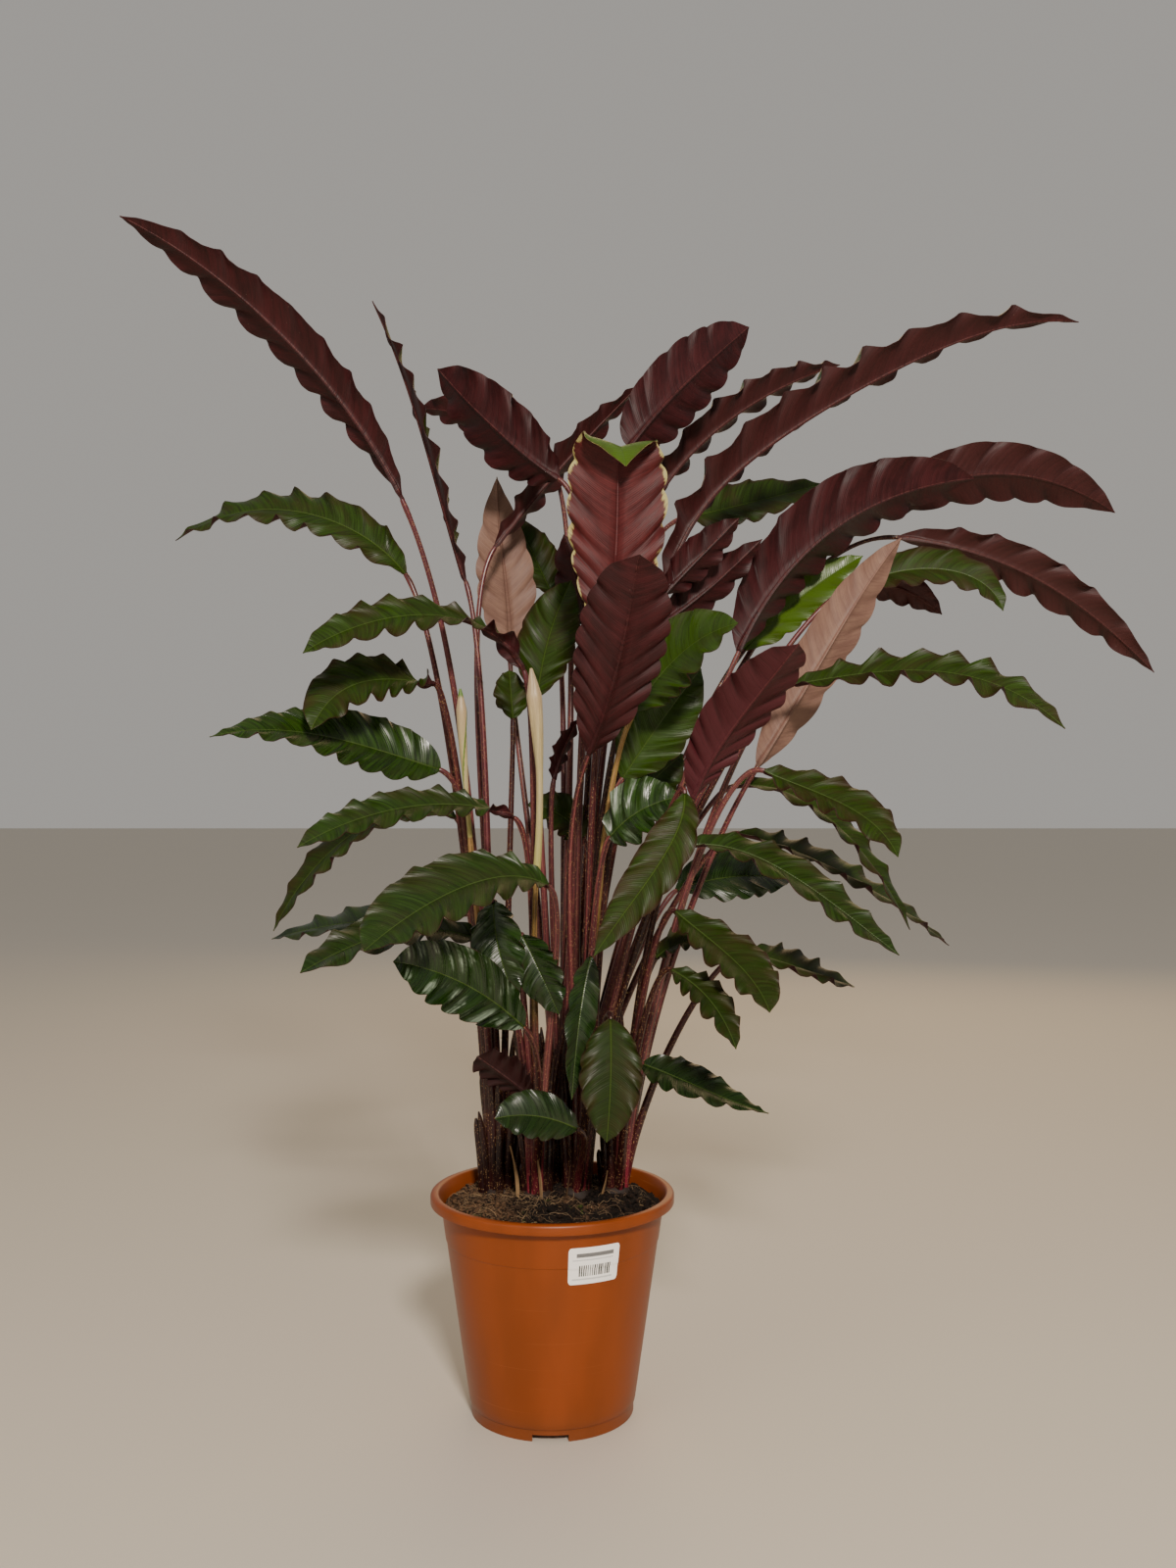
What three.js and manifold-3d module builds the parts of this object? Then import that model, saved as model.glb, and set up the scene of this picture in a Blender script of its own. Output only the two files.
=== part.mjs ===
// A potted prayer plant with long, wavy-edged leaves, in millimetres, +Z up.
// The origin is on the ground under the middle of the pot, and -Y is the front.
import * as THREE from "three";
import { mergeVertices } from "three/addons/utils/BufferGeometryUtils.js";
import Module from "manifold-3d";

const wasm = await Module();
wasm.setup();

const TOUCH_GAP = 0.3; // clearance between two pieces that touch

// Pot: a 19 cm nursery pot, moulded in one piece.
const POT_H = 170;
const RIM_R = 95;
const RIM_H = 8;
const RIM_EDGE = 2.2; // how thick the rim's outer lip is
const NECK_R = 86.5; // outer wall just under the rim
const BASE_R = 64.5; // outer wall at its foot
const WALL = 1.8;
const FLOOR_Z = 7;
const FOOT_H = 9;
const FOOT_INSET = 1.2;
const PAD_R = 24; // middle of the floor, which dips to the ground
const LEDGE_Z = 134; // a faint step where stacked pots rest
const LEDGE = 0.5;
const FOOT_R = BASE_R - FOOT_INSET;
const POT_SIDES = 28;
const NOTCHES = 3; // water slots in the foot, the first one at the front
const NOTCH_W = 27;
const DRAINS = 6;
const DRAIN_R = 5;
const DRAIN_RING_R = 44;

// Paper label.
const LABEL = { width: 40, height: 28, thick: 0.5, corner: 2.5, z: 136, turn: 23 };

// Soil, a little higher in the middle.
const SOIL_EDGE_Z = 159;
const SOIL_MOUND = 7;
const SOIL_BUMP = 1.5;
const SOIL_SIDES = 28;
const SOIL_RINGS = 4;

// Crowns: where each clump of leaf stalks stands in the soil.
const CROWNS = { left: [-42, 20], front: [-12, 4], middle: [19, 8], right: [49, 20], back: [8, 54] };
const CROWN_R = 14;
const CROWN_DEPTH = 36;
const CROWN_UP = 4; // how far it stands out of the soil
const STALK_R = { root: 5.2, top: 1.9 };
const STALK_STEPS = 5;
const STALK_SIDES = 5;

// Leaf blades.
const EDGE_T = 1.0; // thickness at the margin
const RIB_T = { base: 3.6, tip: 1.2 }; // thickness at the midrib
const FOLD_DEG = 16; // how far each half is raised from flat
const WAVE_SHARE = 0.19; // height of the marginal waves as a share of the width
const WAVE_GAP = 60; // one more wave for each such length of midrib
const BASE_POWER = 0.7; // how fast a blade widens from its base
const TIP_POWER = 0.95; // how fast it narrows to its tip

const COLOURS = {
  green: "#23401d",
  purple: "#43222a",
  pale: "#a3796c",
  red: "#6e322f",
  stalk: "#5e2a30",
  rolled: "#c3bc86",
};

// The leaves of each crown. Each has the colour of the side that shows most from the front, its
// greatest width, how much of its stalk bends towards it (neck), the way its upper side looks from
// base to tip (face), and the points that its midrib runs through (rib). Some are folded more than
// the rest or have a blunter tip.
const LEAVES = {
  left: [
    { side: "purple", width: 46, neck: 120, face: [[0.5, 0.7, 0.5], [0.3, 0.7, 0.7]],
      rib: [[-115, -20, 705], [-164, -42, 782], [-231, -75, 847], [-302, -115, 887]] },
    { side: "green", width: 42, neck: 60, face: [[0.98, -0.12, 0.3], [0.95, -0.12, 0.3]],
      rib: [[-71, 40, 650], [-95, 50, 730], [-119, 60, 808], [-151, 70, 888]] },
    { side: "green", width: 44, neck: 50, face: [[0.1, -0.9, 0.4], [-0.2, -0.5, 0.85]],
      rib: [[-116, 10, 652], [-168, 28, 694], [-240, 50, 711], [-316, 75, 690]] },
    { side: "green", width: 50, neck: 18, face: [[0.2, -0.6, 0.75], [0, -0.8, 0.6]],
      rib: [[-90, -20, 564], [-120, -42, 566], [-150, -65, 558], [-172, -90, 526]] },
    { side: "green", width: 54, neck: 40, face: [[0, -0.85, 0.5], [0, -0.8, 0.6]],
      rib: [[-87, -10, 498], [-142, -35, 516], [-192, -75, 526], [-236, -125, 520]] },
    { side: "green", width: 36, neck: 20, face: [[-0.1, -0.5, 0.85], [-0.6, -0.8, 0.3]],
      rib: [[-78, 30, 459], [-132, 45, 463], [-192, 75, 426], [-242, 110, 361]] },
    { side: "green", width: 38, neck: 25, face: [[0, -0.6, 0.8], [0, -0.6, 0.8]],
      rib: [[-66, 50, 381], [-124, 75, 376], [-186, 110, 367], [-252, 150, 350]] },
    { side: "purple", width: 38, neck: 60, face: [[-0.4, 0.5, 0.75], [-0.3, 0.5, 0.75]],
      rib: [[-51, 90, 686], [-10, 103, 740], [30, 117, 788], [73, 130, 835]] },
  ],
  front: [
    { side: "green", width: 38, neck: 25, face: [[0.5, 0.4, 0.6], [0, -0.95, 0.4]],
      rib: [[-21, -25, 573], [-62, -45, 609], [-118, -85, 607], [-170, -130, 578]] },
    { side: "green", width: 34, neck: 22, face: [[0.2, -0.5, 0.8], [0, -0.8, 0.6]],
      rib: [[-28, -30, 461], [-73, -55, 472], [-123, -100, 466], [-170, -150, 444]] },
    { side: "green", width: 60, neck: 25, face: [[0, -0.6, 0.8], [-0.1, -0.8, 0.6]],
      rib: [[-1, -75, 412], [-42, -110, 420], [-85, -155, 403], [-117, -200, 379]] },
    { side: "green", width: 50, neck: 30, face: [[0, -0.9, 0.45], [0, -0.9, 0.45]],
      rib: [[-19, -75, 309], [-46, -96, 335], [-75, -120, 354], [-106, -140, 365]] },
    { side: "green", width: 40, neck: 20, face: [[-0.3, -1, 0.1], [-0.1, -1, 0.1]],
      rib: [[-43, -48, 398], [-38, -68, 366], [-25, -70, 328]] },
    { side: "green", width: 40, neck: 25, face: [[0, -0.6, 0.8], [0, -0.6, 0.8]],
      rib: [[-47, -45, 367], [-92, -70, 380], [-132, -105, 375], [-169, -145, 358]] },
  ],
  middle: [
    { side: "green", width: 46, neck: 25, face: [[0, -1, 0.2], [0, -1, 0.2]],
      rib: [[44, -85, 317], [44, -98, 275], [41, -100, 231]] },
    { side: "green", width: 26, neck: 30, face: [[0.5, -0.8, 0.1], [0.5, -0.8, 0.1]],
      rib: [[30, -72, 361], [22, -85, 320], [16, -88, 259]] },
    { side: "purple", width: 56, neck: 60, tipPower: 0.55, face: [[-0.4, 0.85, 0.3], [-0.4, 0.85, 0.3]],
      rib: [[104, -80, 476], [123, -100, 515], [146, -130, 549], [169, -165, 581]] },
    { side: "green", width: 56, neck: 25, face: [[-0.1, -0.8, 0.6], [-0.1, -0.8, 0.6]],
      rib: [[44, -45, 447], [66, -60, 467], [96, -68, 478]] },
    { side: "green", width: 54, neck: 40, face: [[0, -1, 0.1], [0, -1, 0.1]],
      rib: [[54, -20, 491], [84, -18, 535], [115, -16, 576]] },
    { side: "green", width: 36, neck: 32, face: [[-0.2, -1, 0.3], [0, -1, 0.3]],
      rib: [[96, -112, 481], [87, -118, 447], [62, -122, 409], [32, -124, 367]] },
    { side: "purple", width: 66, neck: 80, tipPower: 0.5, face: [[-0.1, 1, 0.3], [-0.1, 1, 0.3]],
      rib: [[28, -80, 508], [44, -105, 553], [55, -125, 599], [63, -145, 644]] },
    { side: "green", width: 56, neck: 50, face: [[-0.2, -0.9, 0.4], [-0.2, -0.9, 0.4]],
      rib: [[63, -40, 542], [85, -54, 572], [108, -75, 592], [135, -100, 602]] },
    { side: "red", width: 78, neck: 60, tipPower: 0.5,
      face: [[0, 1, 0], [0, 1, 0.1], [0, 1, 0.2], [0, 0.7, 0.7], [0, -0.6, 0.8]],
      rib: [[40, -30, 590], [47, -32, 640], [50, -30, 690], [51, -30, 736], [56, -54, 724]] },
    { side: "purple", width: 34, neck: 50, face: [[-0.4, 0.85, 0.3], [-0.4, 0.85, 0.3]],
      rib: [[87, -5, 635], [116, -3, 665], [146, 0, 695]] },
    { side: "green", width: 38, neck: 14, face: [[0, -0.85, 0.5], [0, -0.85, 0.5]],
      rib: [[20, -60, 231], [-10, -70, 243], [-40, -78, 243]] },
  ],
  right: [
    { side: "green", width: 46, neck: 20, face: [[0.2, -0.6, 0.75], [0.2, -0.6, 0.75]],
      rib: [[92, -60, 393], [119, -85, 372], [140, -115, 353], [152, -145, 331]] },
    { side: "green", width: 42, neck: 30, face: [[0, -0.4, 0.9], [0, -0.4, 0.9]],
      rib: [[153, -20, 358], [194, -10, 344], [238, 10, 327]] },
    { side: "green", width: 30, neck: 20, face: [[0.3, -0.7, 0.6], [0.3, -0.7, 0.6]],
      rib: [[88, -80, 352], [114, -110, 334], [129, -145, 306]] },
    { side: "green", width: 34, neck: 28, face: [[0, -0.7, 0.7], [0, -0.5, 0.8]],
      rib: [[70, -22, 272], [98, -45, 265], [126, -74, 258], [156, -105, 253]] },
    { side: "green", width: 42, neck: 25, face: [[0.1, -0.45, 0.9], [0.1, -0.45, 0.9]],
      rib: [[101, -58, 441], [153, -65, 433], [203, -85, 402], [248, -110, 366]] },
    { side: "green", width: 44, neck: 40, face: [[0, -0.5, 0.85], [0, -0.5, 0.85]],
      rib: [[159, -50, 497], [194, -65, 482], [226, -90, 464], [245, -120, 436]] },
    { side: "green", width: 46, neck: 40, face: [[0, -0.55, 0.85], [0, -0.55, 0.85]],
      rib: [[182, -40, 562], [245, -65, 570], [304, -100, 563], [354, -145, 525]] },
    { side: "pale", width: 46, neck: 60, face: [[-0.3, 0.9, 0.2], [-0.3, 0.9, 0.2]],
      rib: [[160, 0, 500], [199, 5, 563], [237, 12, 626], [277, 20, 683]] },
  ],
  back: [
    { side: "purple", width: 80, neck: 60, fold: 24, tipPower: 0.7,
      face: [[-0.25, 0.75, 0.6], [-0.25, 0.75, 0.6]],
      rib: [[150, 45, 594], [199, 60, 669], [270, 85, 722], [362, 120, 751]] },
    { side: "purple", width: 64, neck: 60, fold: 32, face: [[-0.3, 0.4, 0.85], [-0.2, 0.35, 0.9]],
      rib: [[93, 62, 648], [147, 70, 742], [237, 90, 809], [342, 115, 866], [460, 145, 894]] },
    { side: "purple", width: 46, neck: 60, fold: 28, face: [[-0.4, 0.5, 0.75], [-0.3, 0.5, 0.8]],
      rib: [[80, 110, 720], [128, 130, 785], [192, 160, 836], [259, 200, 872]] },
    { side: "purple", width: 58, neck: 120, tipPower: 0.75, face: [[-0.2, 0.85, 0.5], [0.2, 0.8, 0.5]],
      rib: [[266, 140, 717], [351, 160, 758], [434, 185, 765], [517, 215, 739]] },
    { side: "purple", width: 46, neck: 120, face: [[0.2, 0.7, 0.6], [0.5, 0.7, 0.5]],
      rib: [[301, 150, 705], [386, 150, 686], [465, 165, 648], [540, 180, 588]] },
    { side: "purple", width: 36, neck: 50, face: [[-0.4, 0.85, 0.3], [-0.4, 0.85, 0.3]],
      rib: [[86, 22, 615], [124, 24, 643], [167, 27, 683]] },
    { side: "green", width: 44, neck: 60, face: [[0, -0.9, 0.4], [0, -0.9, 0.4]],
      rib: [[161, 107, 601], [208, 113, 645], [265, 119, 684]] },
    { side: "purple", width: 62, neck: 80, tipPower: 0.6, face: [[-0.3, 0.85, 0.35], [-0.3, 0.85, 0.35]],
      rib: [[61, 30, 757], [92, 45, 797], [129, 75, 839], [165, 105, 877]] },
    { side: "purple", width: 62, neck: 60, tipPower: 0.6, face: [[0.4, 0.8, 0.4], [0.4, 0.8, 0.4]],
      rib: [[4, 40, 734], [-27, 47, 758], [-62, 65, 793], [-99, 90, 837]] },
    { side: "purple", width: 44, neck: 60, face: [[0.2, 0.7, 0.6], [0.2, 0.7, 0.6]],
      rib: [[-10, 150, 775], [-69, 185, 817], [-129, 225, 838]] },
    { side: "green", width: 50, neck: 40, face: [[0, -1, 0.1], [0, -1, 0.1]],
      rib: [[-14, 58, 558], [-4, 64, 610], [14, 70, 656]] },
    { side: "green", width: 46, neck: 80, face: [[0, -0.9, 0.4], [0, -0.9, 0.4]],
      rib: [[114, 170, 726], [170, 195, 743], [251, 240, 771]] },
    { side: "green", width: 42, neck: 60, face: [[0, -0.8, 0.6], [0, -0.8, 0.6]],
      rib: [[242, 40, 645], [288, 37, 660], [334, 34, 655], [361, 30, 626]] },
    { side: "green", width: 42, neck: 30, face: [[0.1, -0.45, 0.9], [0.1, -0.45, 0.9]],
      rib: [[150, 48, 447], [213, 65, 426], [278, 90, 391], [341, 125, 347]] },
    { side: "green", width: 38, neck: 30, face: [[0.1, -0.4, 0.9], [0.6, -0.4, 0.6]],
      rib: [[142, 18, 485], [197, 15, 475], [245, 12, 433], [282, 10, 372]] },
    { side: "green", width: 50, neck: 20, face: [[0, -0.85, 0.5], [0, -0.85, 0.5]],
      rib: [[101, 75, 398], [150, 100, 408], [206, 130, 404]] },
    { side: "pale", width: 52, neck: 60, face: [[0, 1, 0.2], [0, 1, 0.2]],
      rib: [[-40, 128, 602], [-43, 130, 653], [-49, 134, 707], [-52, 138, 756]] },
  ],
};

// Small leaves deep between the others. Each is one body with the stalks of its crown.
const SMALL_LEAVES = {
  left: [
    { width: 30, neck: 16, face: [[0.2, -1, 0.2], [0.2, -1, 0.2]],
      rib: [[-34, 58, 540], [-36, 66, 562], [-38, 76, 582]] },
  ],
  front: [
    { width: 40, neck: 20, face: [[0.3, 0.8, 0.5], [0.3, 0.8, 0.5]],
      rib: [[-16, -40, 252], [-35, -47, 268], [-55, -54, 284]] },
    { width: 36, neck: 14, face: [[-0.3, -1, 0.1], [-0.3, -1, 0.1]],
      rib: [[-22, -40, 373], [-8, -46, 345], [6, -46, 314]] },
  ],
  middle: [
    { width: 44, neck: 30, face: [[0, -1, 0.3], [0, -1, 0.3]],
      rib: [[50, 20, 458], [78, 26, 488], [104, 30, 511]] },
  ],
  right: [
    { width: 34, neck: 20, face: [[0.1, -0.5, 0.9], [0.1, -0.5, 0.9]],
      rib: [[80, -20, 353], [98, -28, 366], [116, -38, 366]] },
  ],
  back: [
    { width: 42, neck: 40, face: [[0.2, -1, 0.2], [0.2, -1, 0.2]],
      rib: [[-4, 160, 655], [-20, 166, 690], [-38, 172, 726]] },
    { width: 40, neck: 50, face: [[0.2, 1, 0.2], [0.2, 1, 0.2]],
      rib: [[28, 95, 620], [18, 100, 660], [7, 106, 700]] },
    { width: 24, neck: 30, face: [[-0.9, 0.5, 0.2], [-0.9, 0.5, 0.2]],
      rib: [[0, 40, 490], [8, 42, 515], [20, 44, 540]] },
    { width: 40, neck: 20, face: [[0, -0.8, 0.6], [0, -0.8, 0.6]],
      rib: [[24, 75, 442], [4, 66, 462], [-22, 60, 470]] },
    { width: 32, neck: 60, face: [[0.2, 0.8, 0.5], [0.2, 0.8, 0.5]],
      rib: [[246, 66, 650], [284, 68, 650], [322, 72, 628]] },
  ],
};

// Young leaves that are still rolled up, each with the crown that it grows from.
const ROLLED = {
  left: { crown: "left", radius: 4.5, neck: 60, rib: [[-63, -20, 446], [-67, -23, 503], [-70, -26, 560]] },
  front: { crown: "front", radius: 6.5, neck: 60, rib: [[-11, -40, 422], [-9, -43, 500], [-15, -45, 574]] },
};

// Small helpers for points, directions and closed solids.
const V = (p) => new THREE.Vector3(p[0], p[1], p[2]);
const lerp = THREE.MathUtils.lerp;
const rad = THREE.MathUtils.degToRad;
const perpendicular = (v, along) => v.clone().addScaledVector(along, -v.dot(along)).normalize();

function solidFrom(position, index) {
  const make = (tris) => new wasm.Manifold(new wasm.Mesh({
    numProp: 3,
    vertProperties: new Float32Array(position),
    triVerts: new Uint32Array(tris),
  }));
  const made = make(index);
  if (made.volume() > 0) return made;
  return make(index.map((_, i) => index[i % 3 === 0 ? i : i % 3 === 1 ? i + 1 : i - 1]));
}

function solidOf(geometry) {
  const bare = geometry.clone();
  bare.deleteAttribute("normal");
  bare.deleteAttribute("uv");
  const merged = mergeVertices(bare, 1e-4);
  return solidFrom([...merged.attributes.position.array], [...merged.index.array]);
}

function geometryOf(solid) {
  const mesh = solid.getMesh();
  const geometry = new THREE.BufferGeometry();
  geometry.setAttribute("position", new THREE.BufferAttribute(mesh.vertProperties, 3));
  geometry.setIndex(new THREE.BufferAttribute(mesh.triVerts, 1));
  geometry.computeVertexNormals();
  return geometry;
}

// A closed solid skinned over rings of points, with its first and last ring filled.
function skinned(rings) {
  const count = rings[0].length;
  const index = [];
  for (let k = 0; k < rings.length - 1; k++)
    for (let i = 0; i < count; i++) {
      const a = k * count + i, b = k * count + ((i + 1) % count);
      index.push(a, b, b + count, a, b + count, a + count);
    }
  const end = (rings.length - 1) * count;
  for (let i = 1; i < count - 1; i++) index.push(0, i + 1, i, end, end + i, end + i + 1);
  return solidFrom(rings.flat().flatMap((p) => [p.x, p.y, p.z]), index);
}

// A ring of points round a place on a curve.
function ringAt(centre, along, radius, sides) {
  const across = perpendicular(Math.abs(along.y) < 0.9 ? V([0, 1, 0]) : V([1, 0, 0]), along);
  const other = new THREE.Vector3().crossVectors(along, across);
  return Array.from({ length: sides }, (_, i) => {
    const turn = (2 * Math.PI * i) / sides;
    return centre.clone()
      .addScaledVector(across, radius * Math.cos(turn))
      .addScaledVector(other, radius * Math.sin(turn));
  });
}

// Pot.
const taper = (z) => lerp(BASE_R, NECK_R, (z - FOOT_H) / (POT_H - RIM_H - FOOT_H));
const wallR = (z) => taper(z) + (z > LEDGE_Z ? LEDGE : 0);

function potSolid() {
  const lipZ = POT_H - RIM_H;
  const inner = (z) => wallR(z) - WALL;
  const profile = [
    [0, 0], [PAD_R, 0], [PAD_R + 5, FLOOR_Z - WALL], [FOOT_R - 4, FLOOR_Z - WALL], [FOOT_R - 2, 0],
    [FOOT_R, 0], [FOOT_R, FOOT_H], [BASE_R, FOOT_H + 1],
    [wallR(LEDGE_Z), LEDGE_Z], [wallR(LEDGE_Z + 1), LEDGE_Z + 1],
    [wallR(lipZ - 1), lipZ - 1], [RIM_R - RIM_EDGE, lipZ + 1], [RIM_R - RIM_EDGE, lipZ], [RIM_R, lipZ],
    [RIM_R, POT_H - 1], [RIM_R - 1, POT_H], [RIM_R - 3, POT_H], [inner(POT_H - 4), POT_H - 3],
    [inner(LEDGE_Z + 1), LEDGE_Z + 1], [inner(LEDGE_Z), LEDGE_Z], [inner(FLOOR_Z + 3), FLOOR_Z + 3],
    [inner(FLOOR_Z) - 3, FLOOR_Z], [PAD_R + 4, FLOOR_Z], [PAD_R - 1, WALL], [0, WALL],
  ].map(([r, z]) => new THREE.Vector2(r, z));
  const turned = new THREE.LatheGeometry(profile, POT_SIDES, Math.PI / POT_SIDES).rotateX(Math.PI / 2);
  let pot = solidOf(turned);
  for (let i = 0; i < NOTCHES; i++) {
    const notch = new THREE.BoxGeometry(20, NOTCH_W, 2 * (FLOOR_Z - WALL)).translate(FOOT_R, 0, 0);
    pot = pot.subtract(solidOf(notch.rotateZ((2 * Math.PI * i) / NOTCHES - Math.PI / 2)));
  }
  for (let i = 0; i < DRAINS; i++) {
    const turn = (2 * Math.PI * (i + 0.5)) / DRAINS;
    const drain = new THREE.CylinderGeometry(DRAIN_R, DRAIN_R, 20, 8).rotateX(Math.PI / 2);
    drain.translate(DRAIN_RING_R * Math.cos(turn), DRAIN_RING_R * Math.sin(turn), FLOOR_Z);
    pot = pot.subtract(solidOf(drain));
  }
  return pot;
}

// Label: a thin sheet that follows the wall.
function labelSolid() {
  const { width, height, thick, corner, z, turn } = LABEL;
  const columns = [-1, -0.93, -0.87, -0.5, 0, 0.5, 0.87, 0.93, 1].map((share) => (share * width) / 2);
  const position = [];
  const rows = [-1, (LEDGE_Z - 0.5 - z) / (height / 2), (LEDGE_Z + 1 - z) / (height / 2), 1];
  for (const out of [2 * TOUCH_GAP, 2 * TOUCH_GAP + thick])
    for (const x of columns) {
      const past = Math.max(0, Math.abs(x) - (width / 2 - corner));
      const cut = corner - Math.sqrt(corner ** 2 - past ** 2);
      for (const row of rows) {
        const level = z + row * (Math.abs(row) === 1 ? height / 2 - cut : height / 2);
        const radius = wallR(level) + out;
        const angle = rad(turn - 90) + x / wallR(z);
        position.push(radius * Math.cos(angle), radius * Math.sin(angle), level);
      }
    }
  const index = [];
  const half = position.length / 6, tall = rows.length;
  const quad = (a, b, c, d) => index.push(a, b, c, a, c, d);
  for (let i = 0; i < columns.length - 1; i++)
    for (let j = 0; j < tall - 1; j++) {
      const a = i * tall + j, b = a + tall;
      quad(a, a + 1, b + 1, b);
      quad(half + a, half + b, half + b + 1, half + a + 1);
    }
  for (let i = 0; i < columns.length - 1; i++) {
    const a = i * tall, b = a + tall, top = tall - 1;
    quad(a, b, half + b, half + a);
    quad(a + top, half + a + top, half + b + top, b + top);
  }
  for (let j = 0; j < tall - 1; j++) {
    const last = (columns.length - 1) * tall + j;
    quad(j, half + j, half + j + 1, j + 1);
    quad(last, last + 1, half + last + 1, half + last);
  }
  return solidFrom(position, index);
}

// Soil, with a plain hole for each crown.
const soilR = wallR(SOIL_EDGE_Z) - WALL - TOUCH_GAP;

function soilTop(x, y) {
  const share = Math.hypot(x, y) / soilR;
  const bumps = Math.sin(x / 9 + 1.3 * Math.sin(y / 13)) * Math.cos(y / 8 - x / 21);
  return SOIL_EDGE_Z + SOIL_MOUND * (1 - share ** 2) + SOIL_BUMP * bumps * (1 - share ** 6);
}

function soilSolid() {
  const rings = [];
  const ring = (radius, level) => Array.from({ length: SOIL_SIDES }, (_, i) => {
    const turn = (2 * Math.PI * (i + 0.5)) / SOIL_SIDES;
    const x = radius * Math.cos(turn), y = radius * Math.sin(turn);
    return V([x, y, level ?? soilTop(x, y)]);
  });
  const inside = (z) => (wallR(z) - WALL - TOUCH_GAP) * Math.cos(Math.PI / POT_SIDES) - 0.1;
  rings.push(ring(PAD_R - 2, WALL + TOUCH_GAP), ring(PAD_R + 3, FLOOR_Z + TOUCH_GAP));
  rings.push(ring(inside(FLOOR_Z) - 5, FLOOR_Z + TOUCH_GAP), ring(inside(FLOOR_Z + 6), FLOOR_Z + 6));
  rings.push(ring(inside(LEDGE_Z), LEDGE_Z), ring(inside(SOIL_EDGE_Z)));
  for (let k = 1; k < SOIL_RINGS; k++) rings.push(ring(inside(SOIL_EDGE_Z) * (1 - k / SOIL_RINGS)));
  let soil = skinned(rings);
  for (const crown of Object.keys(CROWNS)) soil = soil.subtract(crownSolid(crown, TOUCH_GAP));
  return soil;
}

const crownTop = (crown) => soilTop(...CROWNS[crown]) + CROWN_UP;

function crownSolid(crown, grow = 0) {
  const [x, y] = CROWNS[crown];
  const tall = CROWN_DEPTH + (grow ? 30 : 0);
  const stub = new THREE.CylinderGeometry(CROWN_R + grow, CROWN_R + grow, tall + grow, 10);
  stub.rotateX(Math.PI / 2);
  return solidOf(stub.translate(x, y, crownTop(crown) - CROWN_DEPTH + (tall - grow) / 2));
}

// The point at t on the smooth curve that passes through evenly spaced points.
function through(points, t) {
  const last = points.length - 1;
  const out = new THREE.Vector3();
  points.forEach((p, i) => {
    let weight = 1;
    for (let j = 0; j <= last; j++) if (j !== i) weight *= (t * last - j) / (i - j);
    out.addScaledVector(V(p), weight);
  });
  return out;
}

const tangentAt = (points, t) => through(points, t + 1e-3).sub(through(points, t - 1e-3)).normalize();

// Stalk: rises from its crown and bends round to the base of its blade.
function stalkSolid(crown, leaf, reach = -TOUCH_GAP) {
  const [x, y] = CROWNS[crown];
  const base = V(leaf.rib[0]);
  const along = tangentAt(leaf.rib, 0);
  const end = base.clone().addScaledVector(along, reach);
  const away = new THREE.Vector3(base.x - x, base.y - y, 0).normalize();
  const root = V([x, y, crownTop(crown) - 3]).addScaledVector(away, CROWN_R - STALK_R.root - 1.5);
  const rise = end.clone().sub(root);
  const first = root.clone().add(V([0.12 * rise.x, 0.12 * rise.y, 0.42 * rise.z]));
  const bend = new THREE.CubicBezierCurve3(root, first, end.clone().addScaledVector(along, -leaf.neck), end);
  const rings = [];
  for (let k = 0; k <= STALK_STEPS; k++) {
    const t = 1 - (1 - k / STALK_STEPS) ** 1.3;
    const radius = lerp(STALK_R.root, STALK_R.top, t);
    rings.push(ringAt(bend.getPoint(t), bend.getTangent(t), radius, STALK_SIDES));
  }
  return skinned(rings);
}

// The blade's half width as a share of its greatest, from the base at 0 to the tip at 1.
function outline(t, tipPower = TIP_POWER) {
  const widest = BASE_POWER / (BASE_POWER + tipPower);
  return (t / widest) ** BASE_POWER * ((1 - t) / (1 - widest)) ** tipPower;
}

function ribLength(rib) {
  let length = 0;
  for (let i = 0; i < 40; i++) length += through(rib, i / 40).distanceTo(through(rib, (i + 1) / 40));
  return length;
}

// The way that a blade's upper side looks at t.
function faceAt(face, t) {
  const place = Math.min(t * (face.length - 1), face.length - 1.001);
  const step = Math.floor(place);
  return V(face[step]).lerp(V(face[step + 1]), place - step);
}

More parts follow.
